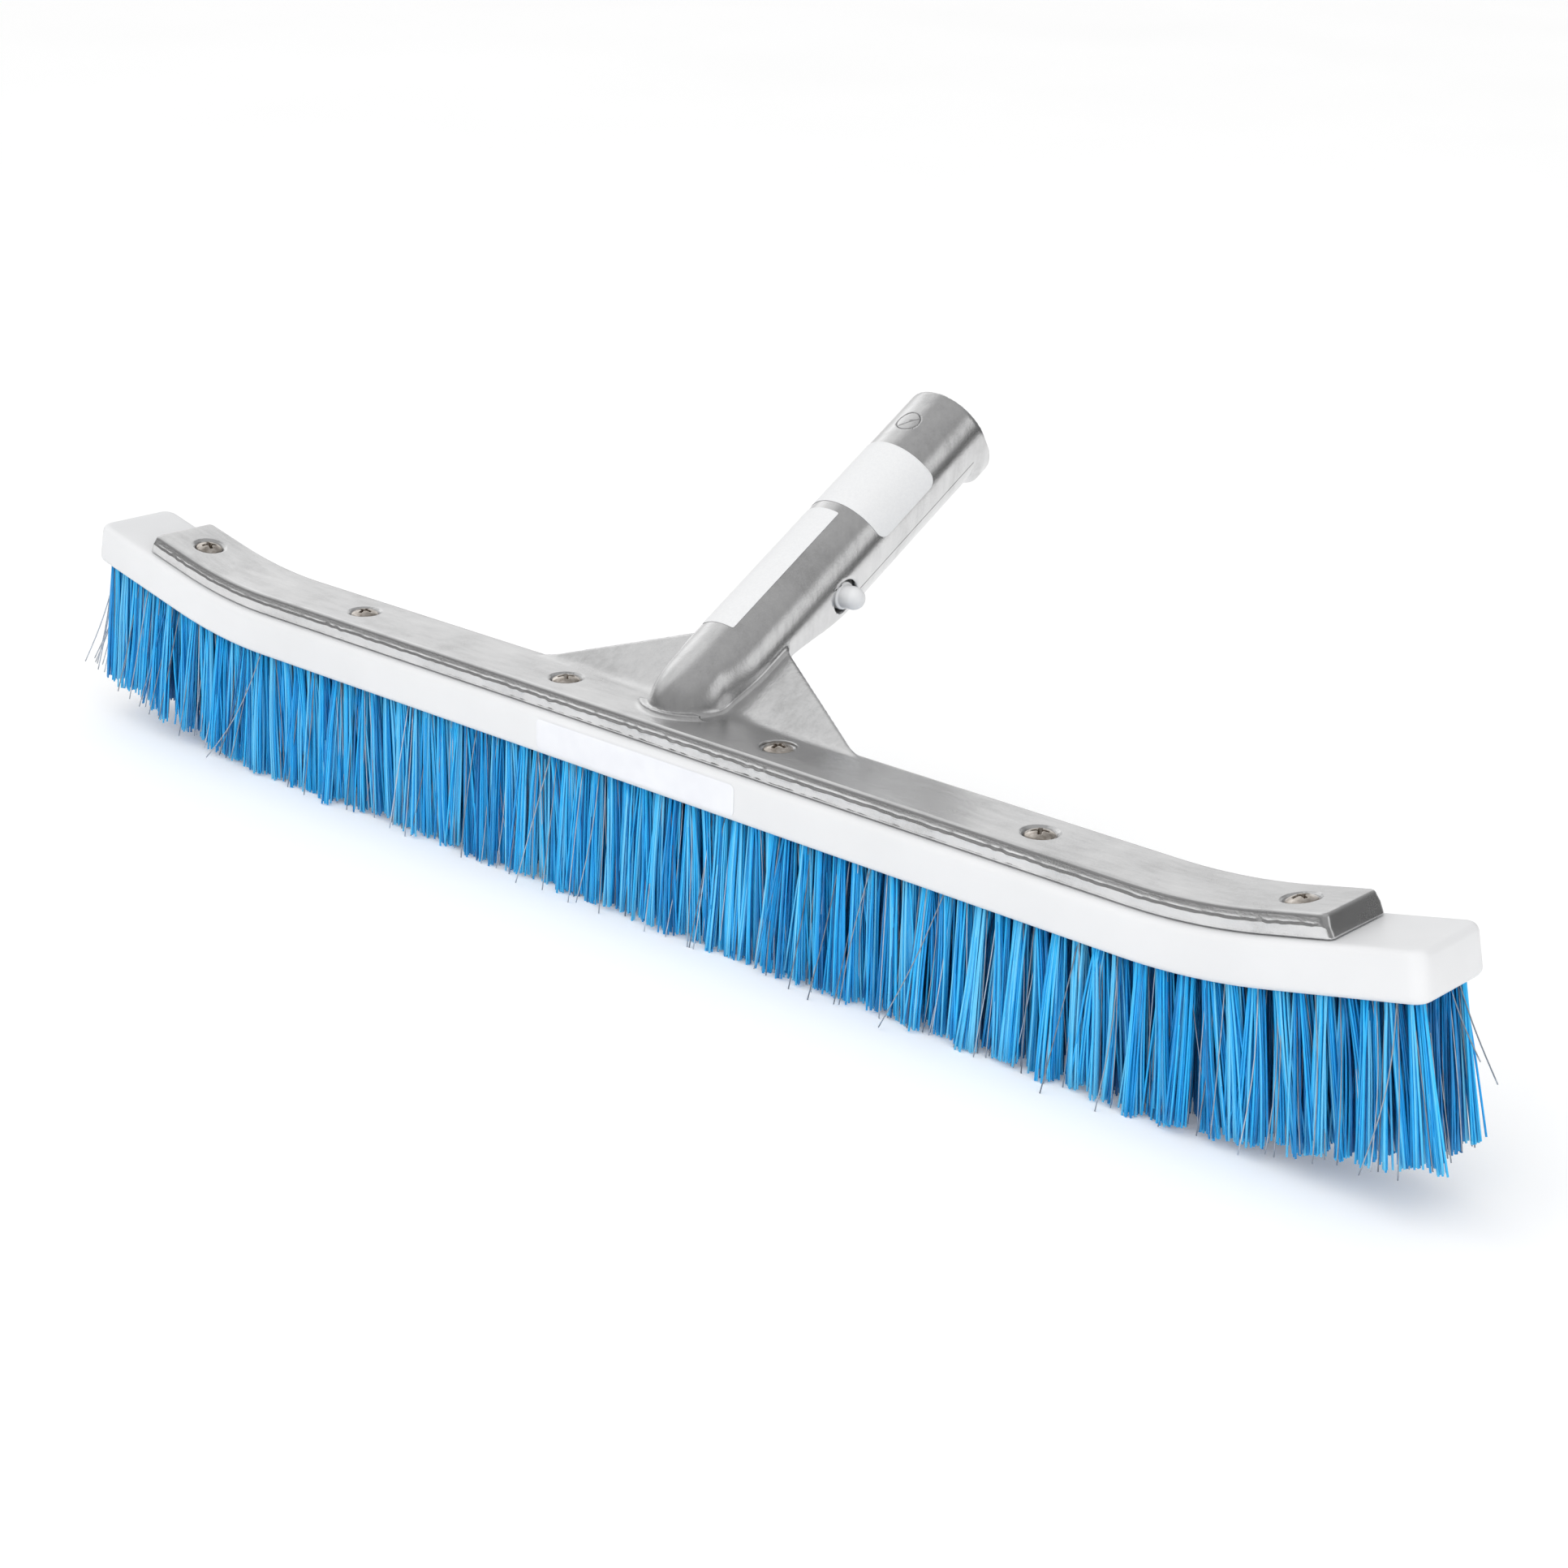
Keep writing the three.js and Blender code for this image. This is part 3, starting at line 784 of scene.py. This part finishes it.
def blue_filament(name):
    """Blue plastic filaments: each strand's own tone, lowered on the inner rows as painted shade,
    with a grain along it.
    """
    material, tree = new_material(name, Specular_IOR_Level=0.6)
    tone = node(tree, "ShaderNodeAttribute", attribute_name="tone").outputs["Fac"]
    flat = object_space(tree, scale=(1, 1, 0.15))
    grain = noise(tree, flat, 1500, 2)
    mixed = math_node(tree, "MULTIPLY_ADD", grain, 0.3, math_node(tree, "MULTIPLY", tone, 0.85))
    # The darkest stops mostly colour the inner rows, whose tone is lowered as painted shade.
    colour = ramp(
        tree, mixed, (0.05, (0.001, 0.07, 0.24)), (0.42, (0.005, 0.35, 0.80)),
        (0.66, (0.02, 0.50, 0.93)), (0.95, (0.15, 0.63, 0.95)),
    )
    rough = ramp(tree, grain, (0.3, 0.42), (0.7, 0.28))
    return dress(material, Base_Color=colour, Roughness=rough, Normal=bump(tree, grain, 0.01))


def steel_wire(name):
    """Thin steel wires: each strand's own tone from dark to bright grey."""
    material, tree = new_material(name, Metallic=1.0)
    tone = node(tree, "ShaderNodeAttribute", attribute_name="tone").outputs["Fac"]
    grain = noise(tree, object_space(tree, scale=(1, 1, 0.2)), 1800, 2)
    mixed = math_node(tree, "MULTIPLY_ADD", grain, 0.3, math_node(tree, "MULTIPLY", tone, 0.8))
    colour = ramp(tree, mixed, (0.1, (0.23, 0.26, 0.31)), (0.9, (0.70, 0.76, 0.83)))
    rough = ramp(tree, grain, (0.3, 0.45), (0.7, 0.3))
    return dress(material, Base_Color=colour, Roughness=rough)


MATERIALS = {
    "plate": cast_aluminium("cast_plate", (0, 0, 0), (0.25, 1, 1), low=0.17, high=0.32),
    "tube": cast_aluminium("cast_tube", (TUBE_LEAN, 0, 0), (1, 1, 0.12), low=0.16, high=0.3),
    "screw": stainless("stainless"),
    "block": white_plastic("block_white"),
    "clip": white_plastic("clip_white", 0.3),
    "paper": label_paper("paper_white"),
    "film": label_film("clear_film"),
    "blue": blue_filament("polyester_blue"),
    "wire": steel_wire("steel_wire"),
}


def finished(thing, body, slot, *nodes):
    """Makes a piece ride on its body and hides the CAD nodes it stands for; slot is not used."""
    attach(thing, body)
    if nodes:
        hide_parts(*nodes)


# ---------------- casting, screws, clip, block

def casting_axes():
    """Grid lines of the casting, finest at its edges, screw seats, toe, slots and mouth."""
    runs = mirrored_line(
        0, 0.4, 4, 0.65, 14, 0.8, 32.6, 0.4, 43.4, 0.8, 56, 1.1, 114.4, 0.4, 125.6, 1.1, 185.4,
        0.4, 196.6, 0.8, 202.5, 0.3, 206,
    )
    ys = line_of(
        -12, 0.28, -9.8, 0.5, -5.2, 0.4, 5.2, 0.5, 9.8, 0.3, 13.6, 0.65, 88, 0.4, 95, 0.65, 118.6,
    )
    heights = line_of(-6.1, 0.22, -1.8, 0.28, 1.3, 0.65, 57, 0.4, 65.2, 0.65, 69)
    return runs, ys, heights


def swell(offset, width):
    """Bell-shaped share: 1 at no offset, next to nothing past twice the width."""
    return np.exp(-((offset / width) ** 2))


def rough_edges(places):
    """Ragged parting seam and flash line along the plate's long sides, worst near the middle."""
    run, y, height = places.T
    waves = np.sin(run * 0.9) * np.sin(run * 0.37 + 1) + 0.6 * np.sin(run * 1.7 + 0.5)
    ragged = 0.5 + 0.4 * waves
    worst = 0.3 + 0.7 * swell(run - ROUGHEST_RUN, ROUGH_REACH)
    side = np.clip((np.abs(y) - PLATE_WIDTH / 2 + 1.0) / 0.4, 0, 1)
    ends = np.clip((PLATE_HALF - 2.5 - np.abs(run)) / 2, 0, 1)
    seam = swell(height + PARTING_DROP + 0.2 * waves, 0.24)
    groove = swell(height + PARTING_DROP - GROOVE_RISE + 0.15 * waves, 0.22)
    flash = swell(height + PLATE_THICKNESS - FLASH_RISE - 0.1 * waves, 0.26)
    push = ragged * worst * (SEAM_PUSH * seam - GROOVE_DEPTH * groove)
    push = push + (FLASH_LEAST + FLASH_MORE * ragged * worst) * flash
    moved = places.copy()
    moved[:, 1] += np.sign(y) * side * ends * push
    return moved


def casting():
    """The cast back: one mesh, with grain along the plate and up the tube and webs."""
    places, faces = contoured(casting_field, casting_axes())
    skin = (MATERIALS["plate"], MATERIALS["tube"])
    shown = mesh_object("cast_back", bent(rough_edges(places)), faces, *skin)
    above_plate = places[faces].mean(1)[:, 2] > TUBE_GRAIN_HEIGHT
    shown.data.polygons.foreach_set("material_index", above_plate.astype(np.int32))
    finished(shown, "root", "cast_aluminium", "handle_casting")


def tube_seams():
    """Parting line that the mould left along each side of the tube, as a low bead."""
    turn = math.asin(TUBE_PARTING_V / TUBE_RADIUS)
    low, high = SLOT_TOP + 0.5, TUBE_LENGTH - LIP_LENGTH - LIP_RAMP
    profile = rounded_profile(SEAM_WIDTH / 2, SEAM_RISE, -SEAM_RISE, 0.05, 2, 2)
    size = ((high - low) / 2, SEAM_WIDTH / 2, 0.1)
    for side, label in SIDES:
        def place(points, side=side):
            along, across, lift = np.asarray(points, float).T
            angle = turn + across / TUBE_RADIUS
            return round_tube(angle, TUBE_RADIUS + lift, (low + high) / 2 + along, side)

        bead = slab(f"tube_seam_{label}", size, profile, place, 1.0, MATERIALS["tube"])
        finished(bead, "root", "cast_aluminium")


def round_mark():
    """Plain plug that fills the round recess near the tube's mouth."""
    across = line_of(-SPOT_RADIUS - 0.2, 0.14, SPOT_RADIUS + 0.2)
    axes = (across, line_of(-13.4, 0.14, -11.6), across + SPOT_T)
    places, faces = contoured(mark_field, axes)
    plug = mesh_object("round_mark_plug", on_tube(places), faces, MATERIALS["tube"])
    finished(plug, "root", "cast_aluminium")


def back_screws():
    """Six like screws, each turned its own way."""
    flat = mirrored_line(0, 0.13, 4.2)
    heights = line_of(-14.4, 0.8, -3.2, 0.25, -1.4, 0.13, 1.3)
    places, faces = contoured(screw_field, (flat, flat, heights))
    x, y, height = places.T
    for n, (run, turn) in enumerate(zip(SCREW_RUNS, SCREW_TURNS)):
        angle = math.radians(turn)
        turned = np.column_stack([
            run + x * math.cos(angle) - y * math.sin(angle),
            x * math.sin(angle) + y * math.cos(angle),
            height - SCREW_SUNK,
        ])
        screw = mesh_object(f"screw_{n + 1}", bent(turned), faces, MATERIALS["screw"])
        finished(screw, "root", "stainless_screw", f"back_screw_{n + 1}")


def clip():
    """The V-clip inside the tube: its bend, and a leg with a button on each side."""
    vs = line_of(CLIP_V - 3.6, 0.24, CLIP_V + 3.6)
    bend_axes = (mirrored_line(0, 0.24, 4), vs, line_of(87.5, 0.24, 92))
    places, faces = contoured(bend_field, bend_axes)
    bend = mesh_object("clip_bend_part", on_tube(places), faces, MATERIALS["clip"])
    finished(bend, "root", "clip_plastic", "clip_bend")
    ts = line_of(43, 0.22, 54, 0.5, 87, 0.25, 89.4)
    for side, label in SIDES:
        outer = line_of(1, 0.22, 19.2)
        xs = outer if side > 0 else -outer[::-1]
        places, faces = contoured(leg_field(side), (xs, vs, ts))
        leg = mesh_object(f"clip_{label}", on_tube(places), faces, MATERIALS["clip"])
        finished(leg, f"{label}_leg", "clip_plastic", f"clip_leg_{label}")


def block():
    """White moulded block that holds the bristles."""
    profile = rounded_profile(BLOCK_WIDTH / 2, BLOCK_TOP, BLOCK_BOTTOM, BLOCK_EDGE)
    size = (BLOCK_HALF, BLOCK_WIDTH / 2, BLOCK_CORNER)
    shown = slab("moulded_block", size, profile, bent, 2.5, MATERIALS["block"])
    finished(shown, "root", "block_plastic", "bristle_block")


def labels():
    """Two blank paper stickers on the tube and a film sticker on the block's front."""
    for name, label in (("tube_label", TUBE_LABEL), ("side_label", SIDE_LABEL)):
        half_a = math.radians(label["half_sweep"]) * (TUBE_RADIUS + LABEL_LIFT)
        half_b = (label["top"] - label["bottom"]) / 2
        profile = rounded_profile(min(half_a, half_b), LABEL_THICKNESS, 0, 0.03, 2, 14)
        size = (half_a, half_b, label["corner"])
        shown = slab(name + "_sheet", size, profile, wrapped(label), 1.0, MATERIALS["paper"])
        finished(shown, "root", "label_paper", name)
    middle = (BLOCK_TOP + BLOCK_BOTTOM) / 2

    def on_front(points):
        along, up, lift = np.asarray(points, float).T
        y = -BLOCK_WIDTH / 2 - LABEL_LIFT - lift
        return bent(np.column_stack([along, y, middle + up]))

    profile = rounded_profile(BLOCK_LABEL_HEIGHT / 2, LABEL_THICKNESS, 0, 0.03, 2, 4)
    size = (BLOCK_LABEL_LENGTH / 2, BLOCK_LABEL_HEIGHT / 2, 1.5)
    film = slab("block_film", size, profile, on_front, 2.0, MATERIALS["film"])
    finished(film, "root", "label_film", "block_label")


# ---------------- bristles

def strands(name, rows, radius, material, sides=5, steps=5):
    """Closed tubes from rows of root, tip and sideways bow, as (run, y, height), and of tone."""
    roots, tips, bows, tones = rows
    count = len(roots)
    share = np.linspace(0, 1, steps + 1)
    line = roots[:, None] + (tips - roots)[:, None] * share[None, :, None]
    line = line + bows[:, None] * (np.sin(np.pi * share) * 0.6 + share ** 2 * 0.4)[None, :, None]
    line = bent(line.reshape(-1, 3)).reshape(count, steps + 1, 3)
    along = np.gradient(line, axis=1)
    along /= np.linalg.norm(along, axis=2, keepdims=True)
    across = np.cross(along, np.array([0.0, 1.0, 0.0]))
    across /= np.linalg.norm(across, axis=2, keepdims=True)
    third = np.cross(along, across)
    angle = np.arange(sides) * 2 * np.pi / sides
    wide, deep = radius * np.cos(angle)[:, None], radius * np.sin(angle)[:, None]
    ring = line[:, :, None] + wide * across[:, :, None] + deep * third[:, :, None]
    per = (steps + 1) * sides
    first = np.arange(count)[:, None, None] * per
    low = first + np.arange(steps)[:, None] * sides
    high = low + sides
    here = np.arange(sides)
    after = (here + 1) % sides
    faces = np.stack([low + here, high + here, high + after, low + after], -1).reshape(-1, 4)
    caps = np.arange(count)[:, None] * per
    ends = [caps + here, caps + per - sides + here[::-1]]
    thing = mesh_object(name, ring.reshape(-1, 3), faces, material, caps=np.concatenate(ends))
    tone = thing.data.attributes.new("tone", "FLOAT", "POINT")
    tone.data.foreach_set("value", np.repeat(tones, per).astype(np.float32))
    return thing


def lean_back(run):
    """How far a tip falls back along the run, where the back bends more than the tufts lean."""
    angle = np.clip((np.abs(run) - MIDDLE_HALF) / BEND_RADIUS, 0, BEND_ANGLE)
    return -np.sign(run) * END_UPRIGHT * angle * BRISTLE_LENGTH


def trimmed(run, shy):
    """Tip height: cut level, a little short, and never below what the brush stands on."""
    free = np.clip((np.abs(run) - MIDDLE_HALF) / 20, 0, 1)
    return TIP_HEIGHT + np.maximum(shy, -1.2 * free)


def rooted(run, y, off):
    """Root places of one tuft's strands, sunk into its hole in the block."""
    return np.column_stack([run + off[:, 0], y + off[:, 1], np.full(len(off), ROOT_HEIGHT)])


def tuft_places(columns):
    rows = (np.arange(TUFT_ROWS) - (TUFT_ROWS - 1) / 2) * ROW_PITCH
    return [(c * TUFT_PITCH, y) for c in columns for y in rows]


def in_outer_row(y):
    return abs(y) > OUTER_ROW - 0.1


def blue_strands(chance, columns, per_tuft):
    """Root, tip, bow and tone rows: each tuft parts into clumps that lean their own way, and the
    inner rows get a darker tone as painted shade.
    """
    tufts = []
    for run, y in tuft_places(columns):
        turn = chance.uniform(0, 2 * np.pi, per_tuft)
        out = TUFT_RADIUS * np.sqrt(chance.uniform(0, 1, per_tuft))
        off = np.column_stack([out * np.cos(turn), out * np.sin(turn)])
        parts = chance.integers(3, 6)
        part = ((turn + chance.uniform(0, 6.28)) / (2 * np.pi) * parts).astype(int) % parts
        lean = chance.normal(0, TUFT_LEAN) + chance.normal(0, CLUMP_LEAN, (parts, 2))[part]
        lean += TUFT_FLARE * off + chance.normal(0, FILAMENT_LEAN, (per_tuft, 2))
        strayed = chance.uniform(0, 1, per_tuft) < STRAY_SHARE
        lean += strayed[:, None] * chance.normal(0, STRAY_LEAN, (per_tuft, 2))
        root = rooted(run, y, off)
        tip = root.copy()
        tip[:, :2] += lean
        tip[:, 0] += lean_back(tip[:, 0])
        tip[:, 1] += y * ROW_FLARE
        short = np.abs(chance.normal(0, 0.8, parts))[part]
        short += np.abs(chance.normal(0, 0.45, per_tuft))
        tip[:, 2] = trimmed(tip[:, 0], short - 0.2 + 0.9 * strayed)
        bow = np.zeros((per_tuft, 3))
        bow[:, :2] = chance.normal(0, (0.5, 0.4), (parts, 2))[part]
        bow[:, :2] += chance.normal(0, 0.25, (per_tuft, 2))
        tone = 0.55 + 0.06 * chance.normal() + chance.normal(0, 0.14, parts)[part]
        # Painted shade: the inner rows' tone is lowered, as if they stood in the outer rows'
        # shadow.
        tone -= 0.5 * (not in_outer_row(y))
        tufts.append((root, tip, bow, np.clip(tone + chance.normal(0, 0.24, per_tuft), 0, 1)))
    return [np.concatenate(rows) for rows in zip(*tufts)]


def wire_strands(chance, columns, per_tuft):
    """Steel wires: fewer and wilder, with the outer rows splaying past the cut face."""
    tufts = []
    for run, y in tuft_places(columns):
        off = chance.uniform(-1, 1, (per_tuft, 2)) * TUFT_RADIUS
        root = rooted(run, y, off)
        tip = root.copy()
        tip[:, :2] += chance.normal(0, WIRE_LEAN, (per_tuft, 2))
        splayed = in_outer_row(y) * (chance.uniform(0, 1, per_tuft) < SPLAYED_SHARE)
        splay = splayed * chance.uniform(*WIRE_SPLAY, per_tuft)
        tip[:, 1] += np.sign(y) * splay
        tip[:, 0] += lean_back(tip[:, 0]) - 0.35 * splay
        tip[:, 2] = trimmed(tip[:, 0], chance.exponential(0.7, per_tuft) - 0.1)
        bow = np.zeros((per_tuft, 3))
        bow[:, :2] = chance.normal(0, (0.9, 0.6), (per_tuft, 2))
        bow[:, 1] -= 0.25 * np.sign(y) * splay
        tufts.append((root, tip, bow, np.clip(chance.normal(0.45, 0.3, per_tuft), 0, 1)))
    return [np.concatenate(rows) for rows in zip(*tufts)]


def tuft_groups():
    """The blue and the steel strands of each CAD tuft group, as two pieces."""
    groups = TUFT_COLUMNS // COLUMNS_PER_GROUP
    filaments = FILAMENTS_PER_TUFT
    for n in range(groups):
        chance = np.random.default_rng(1000 + n)
        first = (n - (groups - 1) / 2) * COLUMNS_PER_GROUP
        columns = first + np.arange(COLUMNS_PER_GROUP) - (COLUMNS_PER_GROUP - 1) / 2
        rows = blue_strands(chance, columns, filaments)
        blue = strands(f"bristles_{n + 1:02d}", rows, FILAMENT_RADIUS, MATERIALS["blue"])
        finished(blue, "root", "bristle_blue", f"tuft_group_{n + 1:02d}")
        rows = wire_strands(chance, columns, WIRES_PER_TUFT)
        wire = strands(f"wires_{n + 1:02d}", rows, WIRE_RADIUS, MATERIALS["wire"], steps=7)
        finished(wire, "root", "stainless_screw")


# Wires that stand out on their own, as root (run, y), tip (run, y, height) and sideways bow.
LONE_WIRES = (
    ((-154, FRONT_Y), (-171, -15.5, TIP_HEIGHT + 0.6), (4.5, -2.0)),
    ((219, FRONT_Y), (205, -12.5, TIP_HEIGHT - 1.0), (5.0, -1.5)),
    ((219, FRONT_Y), (215.5, -12.0, TIP_HEIGHT - 1.2), (1.5, -1.0)),
    ((101, FRONT_Y), (86, -15.5, TIP_HEIGHT + 0.6), (3.0, -2.0)),
    ((-33, FRONT_Y), (-42, -15.0, TIP_HEIGHT + 0.6), (2.0, -2.0)),
)


def lone_wires():
    """Long stray wires on the front and right end, and a splayed fan at the left end."""
    chance = np.random.default_rng(77)
    wires = list(LONE_WIRES)
    last = BLOCK_HALF - TUFT_END_MARGIN
    for y in np.linspace(-10, 6, END_FAN_WIRES):
        reach = chance.uniform(1.5, 13)
        height = TIP_HEIGHT - chance.uniform(0.0, 4.0)
        tip = (-last - reach, y + chance.normal(0, 1.5), height)
        wires.append(((-last - 0.8, y), tip, (0.25 * reach, 0.3)))
    for y, reach, rise in ((3.0, 6.5, 21.0), (6.5, 8.0, 15.0)):
        wires.append(((last + 0.9, y), (last + reach, y + 1, TIP_HEIGHT + rise), (-1.2, 0.2)))
    rows = (
        np.array([(*root, ROOT_HEIGHT) for root, _, _ in wires]),
        np.array([tip for _, tip, _ in wires], float),
        np.array([(*bow, 0.0) for _, _, bow in wires]),
        np.clip(chance.normal(0.4, 0.15, len(wires)), 0, 1),
    )
    shown = strands("lone_wires", rows, WIRE_RADIUS, MATERIALS["wire"], sides=6, steps=14)
    finished(shown, "root", "stainless_screw")


# ---------------- camera, lights and floor

CAMERA_AZIMUTH = math.radians(42.08)
CAMERA_ELEVATION = math.radians(20.22)
CAMERA_ROLL = math.radians(1.29)
CAMERA_DISTANCE = 735.8
CAMERA_TARGET = (40.24, 0.0, PLATE_TOP - 9.26)
FOCAL_PIXELS = 3653.0
IMAGE_PIXELS = 1932.0


def photo_camera():
    data = bpy.data.cameras.new("photo_camera")
    data.sensor_width = 36.0
    data.lens = data.sensor_width * FOCAL_PIXELS / IMAGE_PIXELS
    data.clip_start, data.clip_end = 0.01, 50
    turn = (
        Matrix.Rotation(CAMERA_AZIMUTH, 4, "Z")
        @ Matrix.Rotation(math.pi / 2 - CAMERA_ELEVATION, 4, "X")
        @ Matrix.Rotation(CAMERA_ROLL, 4, "Z")
    )
    place = (Vector(CAMERA_TARGET) + turn @ Vector((0, 0, CAMERA_DISTANCE))) * MM
    camera = bpy.data.objects.new("photo_camera", data)
    camera.matrix_world = Matrix.Translation(place) @ turn
    bpy.context.scene.collection.objects.link(camera)
    bpy.context.scene.camera = camera


def lamp(name, kind, place, power, **settings):
    """Light aimed at the brush that metal doesn't mirror, so it only lifts the matt surfaces."""
    data = bpy.data.lights.new(name, kind)
    data.energy = power
    for key, value in settings.items():
        setattr(data, key, value)
    light = bpy.data.objects.new(name, data)
    light.location = place
    aim = Vector((0, 0.02, 0.05)) - Vector(place)
    light.rotation_mode = "QUATERNION"
    light.rotation_quaternion = aim.to_track_quat("-Z", "Y")
    light.visible_camera = False
    light.visible_glossy = False
    bpy.context.scene.collection.objects.link(light)


def glow(tree, direction, toward, inner, outer, strength):
    """Soft patch of light in the sky, full within its inner rim and gone past its outer one."""
    dot = node(tree, "ShaderNodeVectorMath", operation="DOT_PRODUCT")
    feed(dot.inputs[0], direction)
    feed(dot.inputs[1], Vector(toward).normalized())
    rim, core = math.cos(math.radians(outer)), math.cos(math.radians(inner))
    spread = node(
        tree, "ShaderNodeMapRange", interpolation_type="SMOOTHSTEP",
        Value=dot.outputs["Value"], From_Min=rim, From_Max=core, To_Max=strength,
    )
    return spread.outputs["Result"]


# Patches of light in the sky: direction, inner and outer rim in degrees, strength.
GLOWS = (
    ((-0.74, 0.66, 0.14), 14, 47, 0.60),
    ((-0.80, 0.05, 0.60), 14, 38, 0.42),
    ((0.87, 0.26, 0.42), 5, 19, 0.60),
    ((0.64, 0.70, 0.31), 10, 34, -0.10),
)


def studio():
    lamp("ceiling", "SUN", (-0.1, -0.8, 1.5), 1.45, angle=math.radians(95))
    lamp("left_panel", "AREA", (-0.9, -1.6, 0.7), 5, shape="RECTANGLE", size=1.4, size_y=1.0)
    lamp("right_panel", "AREA", (1.6, -0.7, 0.6), 10, shape="RECTANGLE", size=1.2, size_y=1.0)
    world = bpy.data.worlds.new("studio")
    world.use_nodes = True
    tree = world.node_tree
    direction = node(tree, "ShaderNodeTexCoord").outputs["Generated"]
    split = node(tree, "ShaderNodeSeparateXYZ", Vector=direction)
    total = ramp(
        tree, math_node(tree, "MULTIPLY_ADD", split.outputs["Z"], 0.5, 0.5),
        (0.0, 0.3), (0.47, 0.18), (0.56, 0.21), (0.66, 0.34), (0.8, 0.36), (0.9, 0.46), (1.0, 0.50),
    )
    for patch in GLOWS:
        total = math_node(tree, "ADD", total, glow(tree, direction, *patch))
    sky = settle(tree.nodes["Background"], {"Color": total})
    plain = node(tree, "ShaderNodeBackground", Color=(1, 1, 1, 1))
    seen = node(tree, "ShaderNodeLightPath").outputs["Is Camera Ray"]
    mix = node(tree, "ShaderNodeMixShader")
    for socket, value in zip(mix.inputs, (seen, sky.outputs[0], plain.outputs[0])):
        feed(socket, value)
    feed(tree.nodes["World Output"].inputs["Surface"], mix.outputs[0])
    bpy.context.scene.world = world
    bpy.context.scene.view_settings.view_transform = "Standard"


FLOOR_RADIUS = 4000.0
FLOOR_SIDES = 96


def pale_floor():
    material, tree = new_material(
        "floor_pale", Roughness=0.9, Specular_IOR_Level=0.2, Emission_Strength=0.16,
    )
    shade = noise(tree, object_space(tree), 3, 2)
    colour = ramp(tree, shade, (0.3, (0.90, 0.90, 0.90)), (0.7, (0.92, 0.92, 0.92)))
    dress(material, Base_Color=colour, Emission_Color=colour)
    turns = np.linspace(0, 2 * np.pi, FLOOR_SIDES, endpoint=False)
    rim = np.column_stack([FLOOR_RADIUS * np.cos(turns), FLOOR_RADIUS * np.sin(turns), 0 * turns])
    floor = mesh_object("floor", rim, [np.arange(FLOOR_SIDES)], material)


photo_camera()
studio()
pale_floor()
casting()
tube_seams()
round_mark()
back_screws()
clip()
block()
labels()
tuft_groups()
lone_wires()
